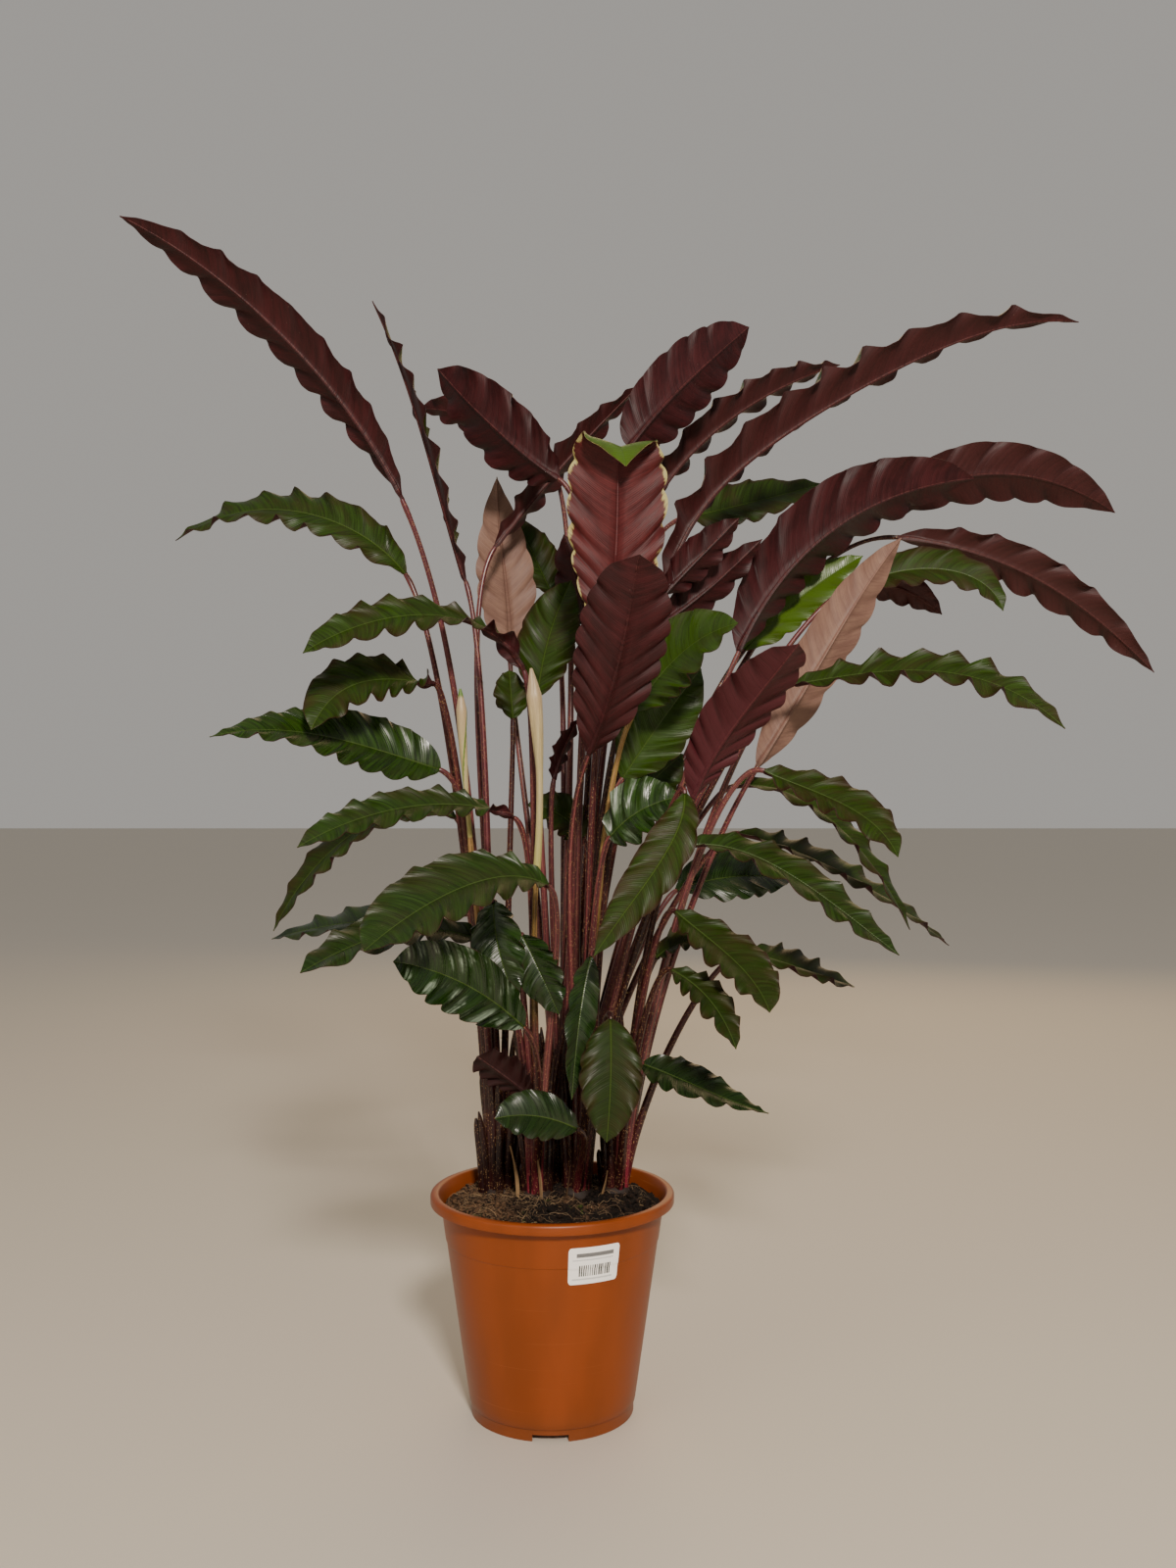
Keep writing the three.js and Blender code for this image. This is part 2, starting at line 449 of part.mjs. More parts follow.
function bladeSolid(leaf) {
  const waves = Math.round(3 + ribLength(leaf.rib) / WAVE_GAP);
  const strips = 2 * waves;
  const fold = rad(leaf.fold ?? FOLD_DEG);
  const upper = [], under = [];
  for (let k = 0; k <= strips; k++) {
    const t = k / strips;
    const at = through(leaf.rib, t);
    const along = tangentAt(leaf.rib, t);
    const normal = perpendicular(faceAt(leaf.face, t), along);
    const side = new THREE.Vector3().crossVectors(along, normal);
    const half = Math.max((leaf.width / 2) * outline(t, leaf.tipPower), t < 0.5 ? 2.4 : 0.8);
    const fade = Math.min(1, t * 6, (1 - t) * 6);
    const wave = (k % 2 ? 1 : -1) * (WAVE_SHARE / 2) * leaf.width * fade;
    const lift = half * Math.sin(fold) + wave;
    const raised = at.clone().addScaledVector(normal, lift);
    const reach = half * Math.cos(fold);
    const row = [-reach, 0, reach].map((out) => (out ? raised : at).clone().addScaledVector(side, out));
    upper.push(row);
    const rib = lerp(RIB_T.base, RIB_T.tip, t);
    under.push(row.map((p, i) => p.clone().addScaledVector(normal, i === 1 ? -rib : -EDGE_T)));
  }
  const index = [];
  const low = 3 * (strips + 1);
  const both = (a, b, c) => index.push(a, b, c, low + a, low + c, low + b);
  for (let k = 0; k < strips; k++) {
    const r = 3 * k, n = r + 3;
    both(r, r + 1, n);
    both(r + 1, n + 1, n);
    both(r + 1, r + 2, n + 2);
    both(r + 1, n + 2, n + 1);
    index.push(r, n, low + r, n, low + n, low + r);
    index.push(r + 2, low + r + 2, n + 2, n + 2, low + r + 2, low + n + 2);
  }
  const end = 3 * strips;
  index.push(0, low, 1, low, low + 1, 1, 1, low + 1, 2, low + 1, low + 2, 2);
  index.push(end, end + 1, low + end, low + end, end + 1, low + end + 1);
  index.push(end + 1, end + 2, low + end + 1, low + end + 1, end + 2, low + end + 2);
  return solidFrom([...upper.flat(), ...under.flat()].flatMap((p) => [p.x, p.y, p.z]), index);
}

// Rolled leaf: a slim spindle on its stalk.
function rolledSolid({ rib, radius }) {
  const rings = [];
  for (let k = 0; k <= 9; k++) {
    const t = k / 9;
    const share = 0.4 + 0.6 * Math.sin(Math.PI * Math.min(1, t / 1.3) ** 1.2);
    const wide = t < 1 ? radius * share * Math.min(1, (1 - t) * 5 + 0.25) : 0.8;
    rings.push(ringAt(through(rib, t), tangentAt(rib, t), wide, 8));
  }
  return skinned(rings);
}

// The whole plant in its pot.
const group = new THREE.Group();

function add(name, solid, color, roughness) {
  const material = new THREE.MeshStandardMaterial({ color, roughness, metalness: 0 });
  const mesh = new THREE.Mesh(geometryOf(solid), material);
  mesh.name = name;
  group.add(mesh);
}

add("pot", potSolid(), "#a5501f", 0.4);
add("label", labelSolid(), "#e9e6df", 0.6);
add("soil", soilSolid(), "#3a2a1f", 0.95);
for (const [crown, leaves] of Object.entries(LEAVES)) {
  const rolled = Object.values(ROLLED).filter((leaf) => leaf.crown === crown);
  const stalks = [...leaves, ...rolled].map((leaf) => stalkSolid(crown, leaf));
  const small = SMALL_LEAVES[crown].map((leaf) => stalkSolid(crown, leaf, 2).add(bladeSolid(leaf)));
  const shoots = [...stalks, ...small].reduce((all, one) => all.add(one), crownSolid(crown));
  add("stalks_" + crown, shoots, COLOURS.stalk, 0.6);
  leaves.forEach((leaf, i) => add(`blade_${crown}_${i + 1}`, bladeSolid(leaf), COLOURS[leaf.side], 0.4));
}
for (const [name, leaf] of Object.entries(ROLLED)) {
  add("rolled_" + name, rolledSolid(leaf), COLOURS.rolled, 0.5);
}

export default group;
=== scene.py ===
import math
import random

import bpy
import numpy as np
from mathutils import Matrix, Vector, noise


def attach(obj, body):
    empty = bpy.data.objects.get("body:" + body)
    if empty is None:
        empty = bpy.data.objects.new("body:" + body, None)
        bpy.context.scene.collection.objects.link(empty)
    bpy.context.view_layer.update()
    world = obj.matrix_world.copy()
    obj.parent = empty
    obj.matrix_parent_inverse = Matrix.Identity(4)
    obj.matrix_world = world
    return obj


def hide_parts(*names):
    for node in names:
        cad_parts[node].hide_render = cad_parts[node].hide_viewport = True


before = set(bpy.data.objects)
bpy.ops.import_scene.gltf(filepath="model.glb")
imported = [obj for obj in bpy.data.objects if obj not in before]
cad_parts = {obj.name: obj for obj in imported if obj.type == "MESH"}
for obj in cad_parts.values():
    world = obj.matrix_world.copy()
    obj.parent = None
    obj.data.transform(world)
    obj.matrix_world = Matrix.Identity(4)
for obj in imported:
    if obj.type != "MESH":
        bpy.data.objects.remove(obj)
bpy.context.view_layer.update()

mm = 0.001


# Helpers for colours, shader nodes and meshes

def colour(hexValue):
    # sRGB hex to the linear colour that the shaders take
    parts = [int(hexValue[i:i + 2], 16) / 255 for i in (1, 3, 5)]
    return [c / 12.92 if c <= 0.04045 else ((c + 0.055) / 1.055) ** 2.4 for c in parts] + [1.0]


# the shader nodes in use, in plain words: the kind of node and its usual settings
nodeKinds = {
    "skin": ("BsdfPrincipled", {}), "result": ("OutputMaterial", {}), "map": ("Attribute", {}),
    "place": ("TexCoord", {}), "move": ("Mapping", {}), "join": ("CombineXYZ", {}),
    "split": ("SeparateXYZ", {}), "noise": ("TexNoise", {}), "cells": ("TexVoronoi", {}),
    "chance": ("TexWhiteNoise", {"noise_dimensions": "1D"}), "blend": ("Mix", {"data_type": "RGBA"}),
    "ease": ("MapRange", {"interpolation_type": "SMOOTHSTEP"}), "ramp": ("ValToRGB", {}),
    "relief": ("Bump", {}),
}
operations = {
    "times": "MULTIPLY", "plus": "ADD", "minus": "SUBTRACT", "over": "DIVIDE", "timesPlus": "MULTIPLY_ADD",
    "unsigned": "ABSOLUTE", "sine": "SINE", "cosine": "COSINE", "below": "LESS_THAN",
    "above": "GREATER_THAN", "largest": "MAXIMUM", "whole": "FLOOR", "fraction": "FRACT",
}
for word, operation in operations.items():
    nodeKinds[word] = ("Math", {"operation": operation})


def addNode(tree, word, *inputs, **settings):
    # inputs are numbers or sockets to link, in the order of the sockets in use, and None passes one over;
    # what comes back is the node's first output
    kind, usual = nodeKinds[word]
    node = tree.nodes.new("ShaderNode" + kind)
    for key, value in {**usual, **settings}.items():
        setattr(node, key, value)
    for socket, value in zip([socket for socket in node.inputs if socket.enabled], inputs):
        if isinstance(value, bpy.types.NodeSocket):
            tree.links.new(value, socket)
        elif value is not None:
            socket.default_value = value
    return next((socket for socket in node.outputs if socket.enabled), None)


def newMaterial(name):
    material = bpy.data.materials.new(name)
    material.use_nodes = True
    tree = material.node_tree
    tree.nodes.clear()
    shader = addNode(tree, "skin")
    addNode(tree, "result", shader)
    return material, tree, shader.node


def readMap(tree, name):
    # the three numbers that a mesh stores at each point under this name
    stored = addNode(tree, "map", attribute_name=name).node.outputs["Vector"]
    return addNode(tree, "split", stored).node.outputs


def meshPiece(name, points, faces, materials, maps=None, slots=None, crease=55):
    mesh = bpy.data.meshes.new(name)
    mesh.from_pydata((np.asarray(points) * mm).tolist(), [], [list(f) for f in faces])
    for material in materials:
        mesh.materials.append(material)
    if slots is not None:
        mesh.polygons.foreach_set("material_index", np.asarray(slots, np.int32))
    for mapName, values in (maps or {}).items():
        layer = mesh.attributes.new(mapName, "FLOAT_VECTOR", "POINT")
        layer.data.foreach_set("vector", np.asarray(values, np.float32).ravel())
    mesh.polygons.foreach_set("use_smooth", np.ones(len(mesh.polygons), bool))
    if crease:
        mesh.set_sharp_from_angle(angle=math.radians(crease))
    mesh.update()
    piece = bpy.data.objects.new(name, mesh)
    bpy.context.scene.collection.objects.link(piece)
    return piece


def settle(piece, slot, *nodes):
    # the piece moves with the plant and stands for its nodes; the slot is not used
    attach(piece, "root")
    if nodes:
        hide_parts(*nodes)
    return piece

# Camera, floor and light

view = {"place": (0.02775, -1.150, 0.487), "lens": 33.75, "sensor": 36.0}
cameraData = bpy.data.cameras.new("camera")
cameraData.lens = view["lens"]
cameraData.sensor_width = view["sensor"]
camera = bpy.data.objects.new("camera", cameraData)
camera.location = view["place"]
camera.rotation_euler = (math.radians(90), 0, 0)
bpy.context.scene.collection.objects.link(camera)
bpy.context.scene.camera = camera

studio = {
    "floor": "#cdc4b6", "floorCloud": "#b9b1a6", "floorSize": 30.0, "sky": "#f4efe8", "skyStrength": 0.42,
    "key": {"place": (0.36, -2.4, 1.72), "size": 0.32, "watts": 92.0, "tint": "#fff4e8"},
    "fill": {"place": (-1.9, -1.8, 1.2), "size": 1.6, "watts": 9.0, "tint": "#fff1dc"},
    "back": {"place": (0.6, 2.2, 1.6), "size": 2.0, "watts": 18.0, "tint": "#ffd694"},
    "aim": (0.06, 0.0, 0.45),
}


def addLight(name, light):
    data = bpy.data.lights.new(name, "AREA")
    data.size = light["size"]
    data.energy = light["watts"]
    data.color = colour(light["tint"])[:3]
    lamp = bpy.data.objects.new(name, data)
    lamp.location = light["place"]
    aim = Vector(studio["aim"]) - lamp.location
    lamp.rotation_euler = aim.to_track_quat("-Z", "Y").to_euler()
    bpy.context.scene.collection.objects.link(lamp)


for name in ("key", "fill", "back"):
    addLight(name + "Light", studio[name])

world = bpy.data.worlds.new("studioSky")
world.use_nodes = True
background = world.node_tree.nodes["Background"]
background.inputs[0].default_value = colour(studio["sky"])
background.inputs[1].default_value = studio["skyStrength"]
bpy.context.scene.world = world


def paintedFloor():
    # floor: matt paint in two near tones, which keeps the ground quiet
    material, tree, skin = newMaterial("paintedFloor")
    where = addNode(tree, "place").node.outputs["Object"]
    cloud = addNode(tree, "noise", where, 2.0, 2.0, 0.55)
    body = addNode(tree, "blend", addNode(tree, "times", cloud, 0.08), colour(studio["floor"]),
                   colour(studio["floorCloud"]))
    tree.links.new(body, skin.inputs["Base Color"])
    skin.inputs["Roughness"].default_value = 0.6
    return material


half = studio["floorSize"] / 2 / mm
floorPiece = meshPiece("floor", [(-half, -half, 0), (half, -half, 0), (half, half, 0), (-half, half, 0)],
                       [(0, 1, 2, 3)], [paintedFloor()], crease=None)
print("camera, floor and lights placed")

# Finishes

upperLook = {
    # the darkest green is for the lowest leaves: partly their age, partly painted shade under the leaves
    # above
    "deepGreen": "#102105", "midGreen": "#264408", "oldShadedGreen": "#0e1c0d", "agedGreen": "#33360a",
    "freshGreen": "#405a0d", "olive": "#30260f", "brownEdge": "#2e1a10", "vein": "#38521f",
    # the pale grey-green among these colours is a painted highlight: streaks of gloss on the pleats
    "speck": "#8d8a6c", "paintedHighlight": "#93a38f", "rib": "#475a24", "pleatGap": 12.0, "veinGap": 1.7,
    "waxIor": 1.45,
}
undersideLook = {
    # in each palette the deep colour is painted shade, laid into creases, vein grooves and low leaves
    "velvetPlum": {"dark": "#28090b", "light": "#3b1114", "deep": "#160505", "rib": "#6d4038",
                   # the last, pale brown colour of this palette is painted sheen
                   "blush": "#4a1e24", "dustAndSheen": "#42211f"},
    "velvetPinkTan": {"dark": "#6c5046", "light": "#7e6254", "deep": "#583e35", "rib": "#662627"},
    "velvetBrick": {"dark": "#3d1213", "light": "#551f1f", "deep": "#22080a", "rib": "#22080a",
                    "margin": "#a39a62"},
    # the speck colour of the undersides is painted glints of light on the hairs
    "all": {"speck": "#a08a7c", "sheenTint": "#b98c86", "sheen": 0.04, "gloss": 0.25, "pleatGap": 8.0,
            "veinGap": 1.7},
}


def layered(tree, base, palette, layers):
    # colours of a palette laid one over another, each as strongly as its share says
    for share, tint in layers:
        base = addNode(tree, "blend", share, base, colour(palette[tint]))
    return base


def veinTexture(tree, vein, across, tone, alongVein, acrossVein):
    # fibres that run with the side veins: the pattern is short across them and long along them
    where = addNode(tree, "join", addNode(tree, "times", vein, acrossVein),
                    addNode(tree, "times", across, alongVein), addNode(tree, "times", tone, 57.0))
    return addNode(tree, "noise", where, 1.0, 4.0, 0.6)


def specks(tree, vein, across, tone, gap, size):
    # small pale dots, each in its own cell of about gap mm
    where = addNode(tree, "join", vein, across, addNode(tree, "times", tone, 300.0))
    cells = addNode(tree, "cells", where, 1.0 / gap)
    chosen = addNode(tree, "split", cells.node.outputs["Color"])
    near = addNode(tree, "below", cells.node.outputs["Distance"],
                   addNode(tree, "times", chosen, size / gap))
    return addNode(tree, "times", near, addNode(tree, "above", chosen, 0.62))


def heightOf(tree):
    # height above the floor in metres
    place = addNode(tree, "place").node.outputs["Object"]
    return addNode(tree, "split", place).node.outputs[2]


def pleats(tree, vein, across, tone, gap):
    # soft pleats between the side veins: round on top with a narrow groove on each vein
    drift = veinTexture(tree, vein, across, tone, 0.03, 0.07)
    shifted = addNode(tree, "timesPlus", drift, 9.0, vein)
    return addNode(tree, "unsigned", addNode(tree, "sine", addNode(tree, "times", shifted, math.pi / gap)))


def waxedLeaf():
    # leaf, upper side: waxy skin over dark green flesh, seen as streaks of gloss between the veins
    material, tree, skin = newMaterial("waxedLeaf")
    across, vein, share = readMap(tree, "bladeMap")
    tone, _, along = readMap(tree, "bladeTone")
    off = addNode(tree, "unsigned", across)
    fibres = veinTexture(tree, vein, across, tone, 0.035, 0.5)
    blotches = veinTexture(tree, vein, across, tone, 0.05, 0.05)
    pleat = pleats(tree, vein, off, tone, upperLook["pleatGap"])
    onVein = addNode(tree, "ease", pleat, 0.0, 0.16, 1.0, 0.0)
    ribWidth = addNode(tree, "timesPlus", along, -0.6, 0.95)
    onRib = addNode(tree, "ease", addNode(tree, "over", off, ribWidth), 0.4, 0.95, 1.0, 0.0)

    green = addNode(tree, "blend", addNode(tree, "ease", fibres, 0.3, 0.72),
                    colour(upperLook["deepGreen"]), colour(upperLook["midGreen"]))
    # the low leaves are the oldest and darkest; this darkening by height is partly painted shade, as under
    # the leaves above
    old = addNode(tree, "times", addNode(tree, "ease", heightOf(tree), 0.5, 0.26), 0.6)
    aged = addNode(tree, "times", addNode(tree, "ease", tone, 0.3, 0.75),
                   addNode(tree, "ease", tone, 0.8, 0.84, 1.0, 0.3))
    worn = addNode(tree, "times", addNode(tree, "ease", blotches, 0.42, 0.68),
                   addNode(tree, "timesPlus", share, 0.5, 0.35))
    worn = addNode(tree, "times", worn, addNode(tree, "timesPlus", aged, 0.8, 0.3))
    edge = addNode(tree, "times", addNode(tree, "ease", share, 0.84, 1.0),
                   addNode(tree, "times", aged, 0.8))
    # painted highlight: pale streaks of gloss painted on top of the pleats, on the glossiest leaves only
    paintedHighlight = addNode(tree, "ease", pleat, 0.45, 0.95)
    paintedHighlight = addNode(tree, "times", paintedHighlight,
                    addNode(tree, "times", addNode(tree, "ease", fibres, 0.4, 0.62),
                            addNode(tree, "ease", share, 0.1, 0.5)))
    paintedHighlight = addNode(tree, "times", paintedHighlight,
                    addNode(tree, "times", addNode(tree, "ease", blotches, 0.47, 0.6),
                            addNode(tree, "ease", tone, 0.12, 0.0, 0.0, 0.7)))
    finished = layered(tree, green, upperLook, [
        (old, "oldShadedGreen"),
        (addNode(tree, "times", aged, 0.3), "agedGreen"),
        (addNode(tree, "ease", tone, 0.8, 1.0), "freshGreen"),
        (worn, "olive"),
        (edge, "brownEdge"),
        (addNode(tree, "times", onVein, 0.16), "vein"),
        (addNode(tree, "times", specks(tree, vein, across, tone, 3.2, 0.2), 0.55), "speck"),
        (paintedHighlight, "paintedHighlight"),
        (addNode(tree, "times", onRib, 0.7), "rib"),
    ])
    tree.links.new(finished, skin.inputs["Base Color"])

    dull = addNode(tree, "plus", addNode(tree, "times", addNode(tree, "ease", blotches, 0.45, 0.7), 0.12),
                   addNode(tree, "times", aged, 0.16))
    tree.links.new(addNode(tree, "plus", dull, addNode(tree, "ease", fibres, 0.3, 0.72, 0.2, 0.36)),
                   skin.inputs["Roughness"])
    skin.inputs["IOR"].default_value = upperLook["waxIor"]
    tree.links.new(addNode(tree, "ease", aged, 0.0, 0.9, 0.5, 0.2), skin.inputs["Specular IOR Level"])
    fine = addNode(tree, "cosine", addNode(tree, "times", vein, 2 * math.pi / upperLook["veinGap"]))
    relief = addNode(tree, "timesPlus", fine, 0.03, addNode(tree, "times", fibres, 0.35))
    relief = addNode(tree, "timesPlus", pleat, addNode(tree, "ease", tone, 0.16, 0.0, 0.16, 0.75), relief)
    tree.links.new(addNode(tree, "relief", 0.8, 0.001, None, relief), skin.inputs["Normal"])
    return material


def velvetUnderside(name):
    # leaf, underside: minute hairs over coloured flesh, a velvet that pales where it turns from the eye
    look = {**undersideLook["all"], **undersideLook[name]}
    material, tree, skin = newMaterial(name)
    across, vein, share = readMap(tree, "bladeMap")
    tone, crest, along = readMap(tree, "bladeTone")
    off = addNode(tree, "unsigned", across)
    fibres = veinTexture(tree, vein, across, tone, 0.05, 0.5)
    clouds = veinTexture(tree, vein, across, tone, 0.06, 0.06)
    pleat = pleats(tree, vein, off, tone, look["pleatGap"])
    mixed = addNode(tree, "timesPlus", fibres, 0.45, addNode(tree, "times", clouds, 0.55))
    body = addNode(tree, "blend", addNode(tree, "ease", mixed, 0.36, 0.64), colour(look["dark"]),
                   colour(look["light"]))
    if "blush" in look:
        body = layered(tree, body, look, [
            (addNode(tree, "times", addNode(tree, "ease", tone, 0.8, 1.0), 0.85), "blush"),
            # painted sheen: a paler brown on leaves of low tone, the look of the velvet seen at a slant
            (addNode(tree, "ease", tone, 0.2, 0.0, 0.0, 0.7), "dustAndSheen"),
        ])
    # painted shade: the deep colour darkens the creases of the waves, the grooves on the veins and the
    # lowest leaves, which are also older
    creaseShade = addNode(tree, "times", addNode(tree, "ease", crest, -0.1, 0.8),
                       addNode(tree, "ease", share, 0.1, 0.6))
    old = addNode(tree, "times", addNode(tree, "ease", heightOf(tree), 0.42, 0.28), 0.65)
    onVein = addNode(tree, "ease", pleat, 0.0, 0.2, 1.0, 0.0)
    body = layered(tree, body, look, [
        (addNode(tree, "times", creaseShade, 0.45), "deep"),
        (old, "deep"),
        (addNode(tree, "times", onVein, 0.35), "deep"),
    ])
    if "margin" in look:
        ragged = addNode(tree, "timesPlus", addNode(tree, "minus", fibres, 0.5), 0.14, share)
        ragged = addNode(tree, "timesPlus", addNode(tree, "minus", clouds, 0.55), 0.45, ragged)
        body = layered(tree, body, look, [(addNode(tree, "ease", ragged, 0.92, 0.98), "margin")])
    ribWidth = addNode(tree, "timesPlus", along, -0.9, 1.4)
    ribPlace = addNode(tree, "over", off, ribWidth)
    lines = addNode(tree, "times", addNode(tree, "ease", ribPlace, 0.4, 0.62),
                    addNode(tree, "ease", ribPlace, 0.7, 1.0, 1.0, 0.0))
    broken = addNode(tree, "times", lines, addNode(tree, "ease", fibres, 0.38, 0.56))
    body = layered(tree, body, look, [
        (addNode(tree, "times", broken, 0.8), "rib"),
        # painted glints: pale dots standing for light caught on the hairs
        (addNode(tree, "times", specks(tree, vein, across, tone, 4.0, 0.2), 0.5), "speck"),
    ])
    tree.links.new(body, skin.inputs["Base Color"])
    tree.links.new(addNode(tree, "ease", mixed, 0.36, 0.64, 0.46, 0.58), skin.inputs["Roughness"])
    skin.inputs["Specular IOR Level"].default_value = look["gloss"]
    skin.inputs["Sheen Weight"].default_value = look["sheen"]
    skin.inputs["Sheen Roughness"].default_value = 0.4
    skin.inputs["Sheen Tint"].default_value = colour(look["sheenTint"])
    fine = addNode(tree, "cosine", addNode(tree, "times", vein, 2 * math.pi / look["veinGap"]))
    relief = addNode(tree, "timesPlus", fine, 0.03, addNode(tree, "times", fibres, 0.3))
    relief = addNode(tree, "timesPlus", pleat, 0.15, relief)
    tree.links.new(addNode(tree, "relief", 0.7, 0.001, None, relief), skin.inputs["Normal"])
    return material


stalkLook = {
    "stops": [(0.0, "#1c0a09"), (0.2, "#2e1110"), (0.4, "#461a1a"), (0.6, "#5e2a30"), (0.75, "#68393a"),
              (0.87, "#5f4a22"), (1.0, "#a5864a")],
    # the near-black low colour is painted shade at the foot of the stalk bundle
    "streak": "#180a09", "lit": "#8a5048", "low": "#200a0a", "foot": "#7c2434", "bristle": "#a88458",
    "hairDark": "#6b4a2c", "hairLight": "#c3a26c", "gloss": 0.34,
}


def hairyStalk():
    # leaf stalk: fibrous flesh with a thin shiny skin, streaked lengthwise from rose to brown
    material, tree, skin = newMaterial("hairyStalk")
    turn, length, _ = readMap(tree, "stalkMap")
    tone, kind, _ = readMap(tree, "stalkTone")
    streakWhere = addNode(tree, "join", addNode(tree, "times", turn, 1.2),
                          addNode(tree, "times", length, 0.003), addNode(tree, "times", tone, 71.0))
    streaks = addNode(tree, "noise", streakWhere, 1.8, 2.0, 0.5)
    body = addNode(tree, "ramp", kind)
    stops = body.node.color_ramp.elements
    for place, _ in stalkLook["stops"][1:-1]:
        stops.new(place)
    for stop, (place, tint) in zip(stops, stalkLook["stops"]):
        stop.position = place
        stop.color = colour(tint)
    lit = addNode(tree, "times", addNode(tree, "ease", streaks, 0.46, 0.32),
                  addNode(tree, "times", kind, 0.7))
    # painted shade: the darker stalks go near black low down, towards the soil, under the leaves
    low = addNode(tree, "times", addNode(tree, "ease", heightOf(tree), 0.38, 0.22),
                  addNode(tree, "ease", kind, 0.66, 0.4, 0.25, 0.75))
    foot = addNode(tree, "times", addNode(tree, "ease", length, 60.0, 5.0),
                   addNode(tree, "ease", kind, 0.4, 0.6))
    bristles = specks(tree, length, addNode(tree, "times", turn, 3.4), tone, 1.3, 0.5)
    body = layered(tree, body, stalkLook, [
        (addNode(tree, "times", addNode(tree, "ease", streaks, 0.42, 0.62), 0.65), "streak"),
        (lit, "lit"),
        (low, "low"),
        (addNode(tree, "times", foot, 0.85), "foot"),
        (addNode(tree, "times", bristles, 0.65), "bristle"),
    ])
    tree.links.new(body, skin.inputs["Base Color"])
    tree.links.new(addNode(tree, "ease", streaks, 0.3, 0.7, 0.28, 0.4), skin.inputs["Roughness"])
    skin.inputs["Specular IOR Level"].default_value = stalkLook["gloss"]
    tree.links.new(addNode(tree, "relief", 0.3, 0.0004, None, streaks), skin.inputs["Normal"])
    return material


def plainHair():
    # stalk hairs: stiff golden-brown bristles, drawn thicker than life so that they show
    material, tree, skin = newMaterial("stalkBristle")
    tone = readMap(tree, "stalkTone")[0]
    body = addNode(tree, "blend", tone, colour(stalkLook["hairDark"]), colour(stalkLook["hairLight"]))
    tree.links.new(body, skin.inputs["Base Color"])
    skin.inputs["Roughness"].default_value = 0.45
    return material


rolledLook = {
    "vein": "#9c8b60", "body": "#b9ad7f", "tip": "#a98d74", "neck": "#a09c52", "seam": "#4f6f14",
    "sheen": 0.1,
}


def rolledLeafSkin():
    # leaf that is still rolled: smooth cream underside with lengthwise veins and a green edge at the seam
    material, tree, skin = newMaterial("rolledLeafSkin")
    turn, length, share = readMap(tree, "stalkMap")
    green = readMap(tree, "stalkTone")[1]
    where = addNode(tree, "join", addNode(tree, "times", turn, 5.0), addNode(tree, "times", length, 0.03),
                    3.0)
    lines = addNode(tree, "noise", where, 1.4, 4.0, 0.6)
    body = addNode(tree, "blend", addNode(tree, "ease", lines, 0.35, 0.7), colour(rolledLook["vein"]),
                   colour(rolledLook["body"]))
    body = layered(tree, body, rolledLook, [
        (addNode(tree, "times", addNode(tree, "ease", share, 0.5, 1.0), 0.6), "tip"),
        (addNode(tree, "times", addNode(tree, "ease", share, 0.4, 0.0), 0.8), "neck"),
        (addNode(tree, "ease", green, 0.35, 0.75), "seam"),
    ])
    tree.links.new(body, skin.inputs["Base Color"])
    skin.inputs["Roughness"].default_value = 0.42
    skin.inputs["Sheen Weight"].default_value = rolledLook["sheen"]
    tree.links.new(addNode(tree, "relief", 0.5, 0.0004, None, lines), skin.inputs["Normal"])
    return material


plasticLook = {
    "deep": "#773506", "body": "#843b08", "rub": "#a8683f", "dust": "#553a26", "ior": 1.49, "gloss": 0.36,
}


def mouldedPlastic():
    # nursery pot: injection moulded polypropylene, satin with soft flow marks, dust and rubbed scratches
    material, tree, skin = newMaterial("mouldedPolypropylene")
    where = addNode(tree, "place").node.outputs["Object"]
    flow = addNode(tree, "noise", addNode(tree, "move", where, None, None, (26, 26, 7)), 1.0, 3.0, 0.55)
    grain = addNode(tree, "noise", where, 900.0, 2.0, 0.55)
    rubs = addNode(tree, "noise", addNode(tree, "move", where, None, None, (9, 9, 700)), 1.0, 2.0)
    rub = addNode(tree, "times", addNode(tree, "ease", rubs, 0.69, 0.76), 0.25)
    body = addNode(tree, "blend", addNode(tree, "ease", flow, 0.3, 0.7), colour(plasticLook["deep"]),
                   colour(plasticLook["body"]))
    dustAndSheen = addNode(tree, "times", addNode(tree, "ease", heightOf(tree), 0.03, 0.0), 0.25)
    body = layered(tree, body, plasticLook, [(rub, "rub"), (dustAndSheen, "dust")])
    tree.links.new(body, skin.inputs["Base Color"])
    tree.links.new(addNode(tree, "ease", flow, 0.3, 0.7, 0.34, 0.42), skin.inputs["Roughness"])
    skin.inputs["IOR"].default_value = plasticLook["ior"]
    skin.inputs["Specular IOR Level"].default_value = plasticLook["gloss"]
    tree.links.new(addNode(tree, "relief", 0.25, 0.00012, None, grain), skin.inputs["Normal"])
    return material


# print boxes are in millimetres from the middle of the label: left, right, bottom, top
labelLook = {
    "paper": "#fffdf8", "bar": "#15171a", "heading": "#1f242b", "rule": "#3c4a5c", "barGap": 1.7,
    "barBox": (-11.9, 13.6, -8.0, 0.4), "headingBox": (-14.0, 15.0, 6.6, 9.6),
    "ruleSides": (-17.0, 15.0), "upperRule": (4.0, 4.9), "lowerRule": (-10.8, -9.6),
}


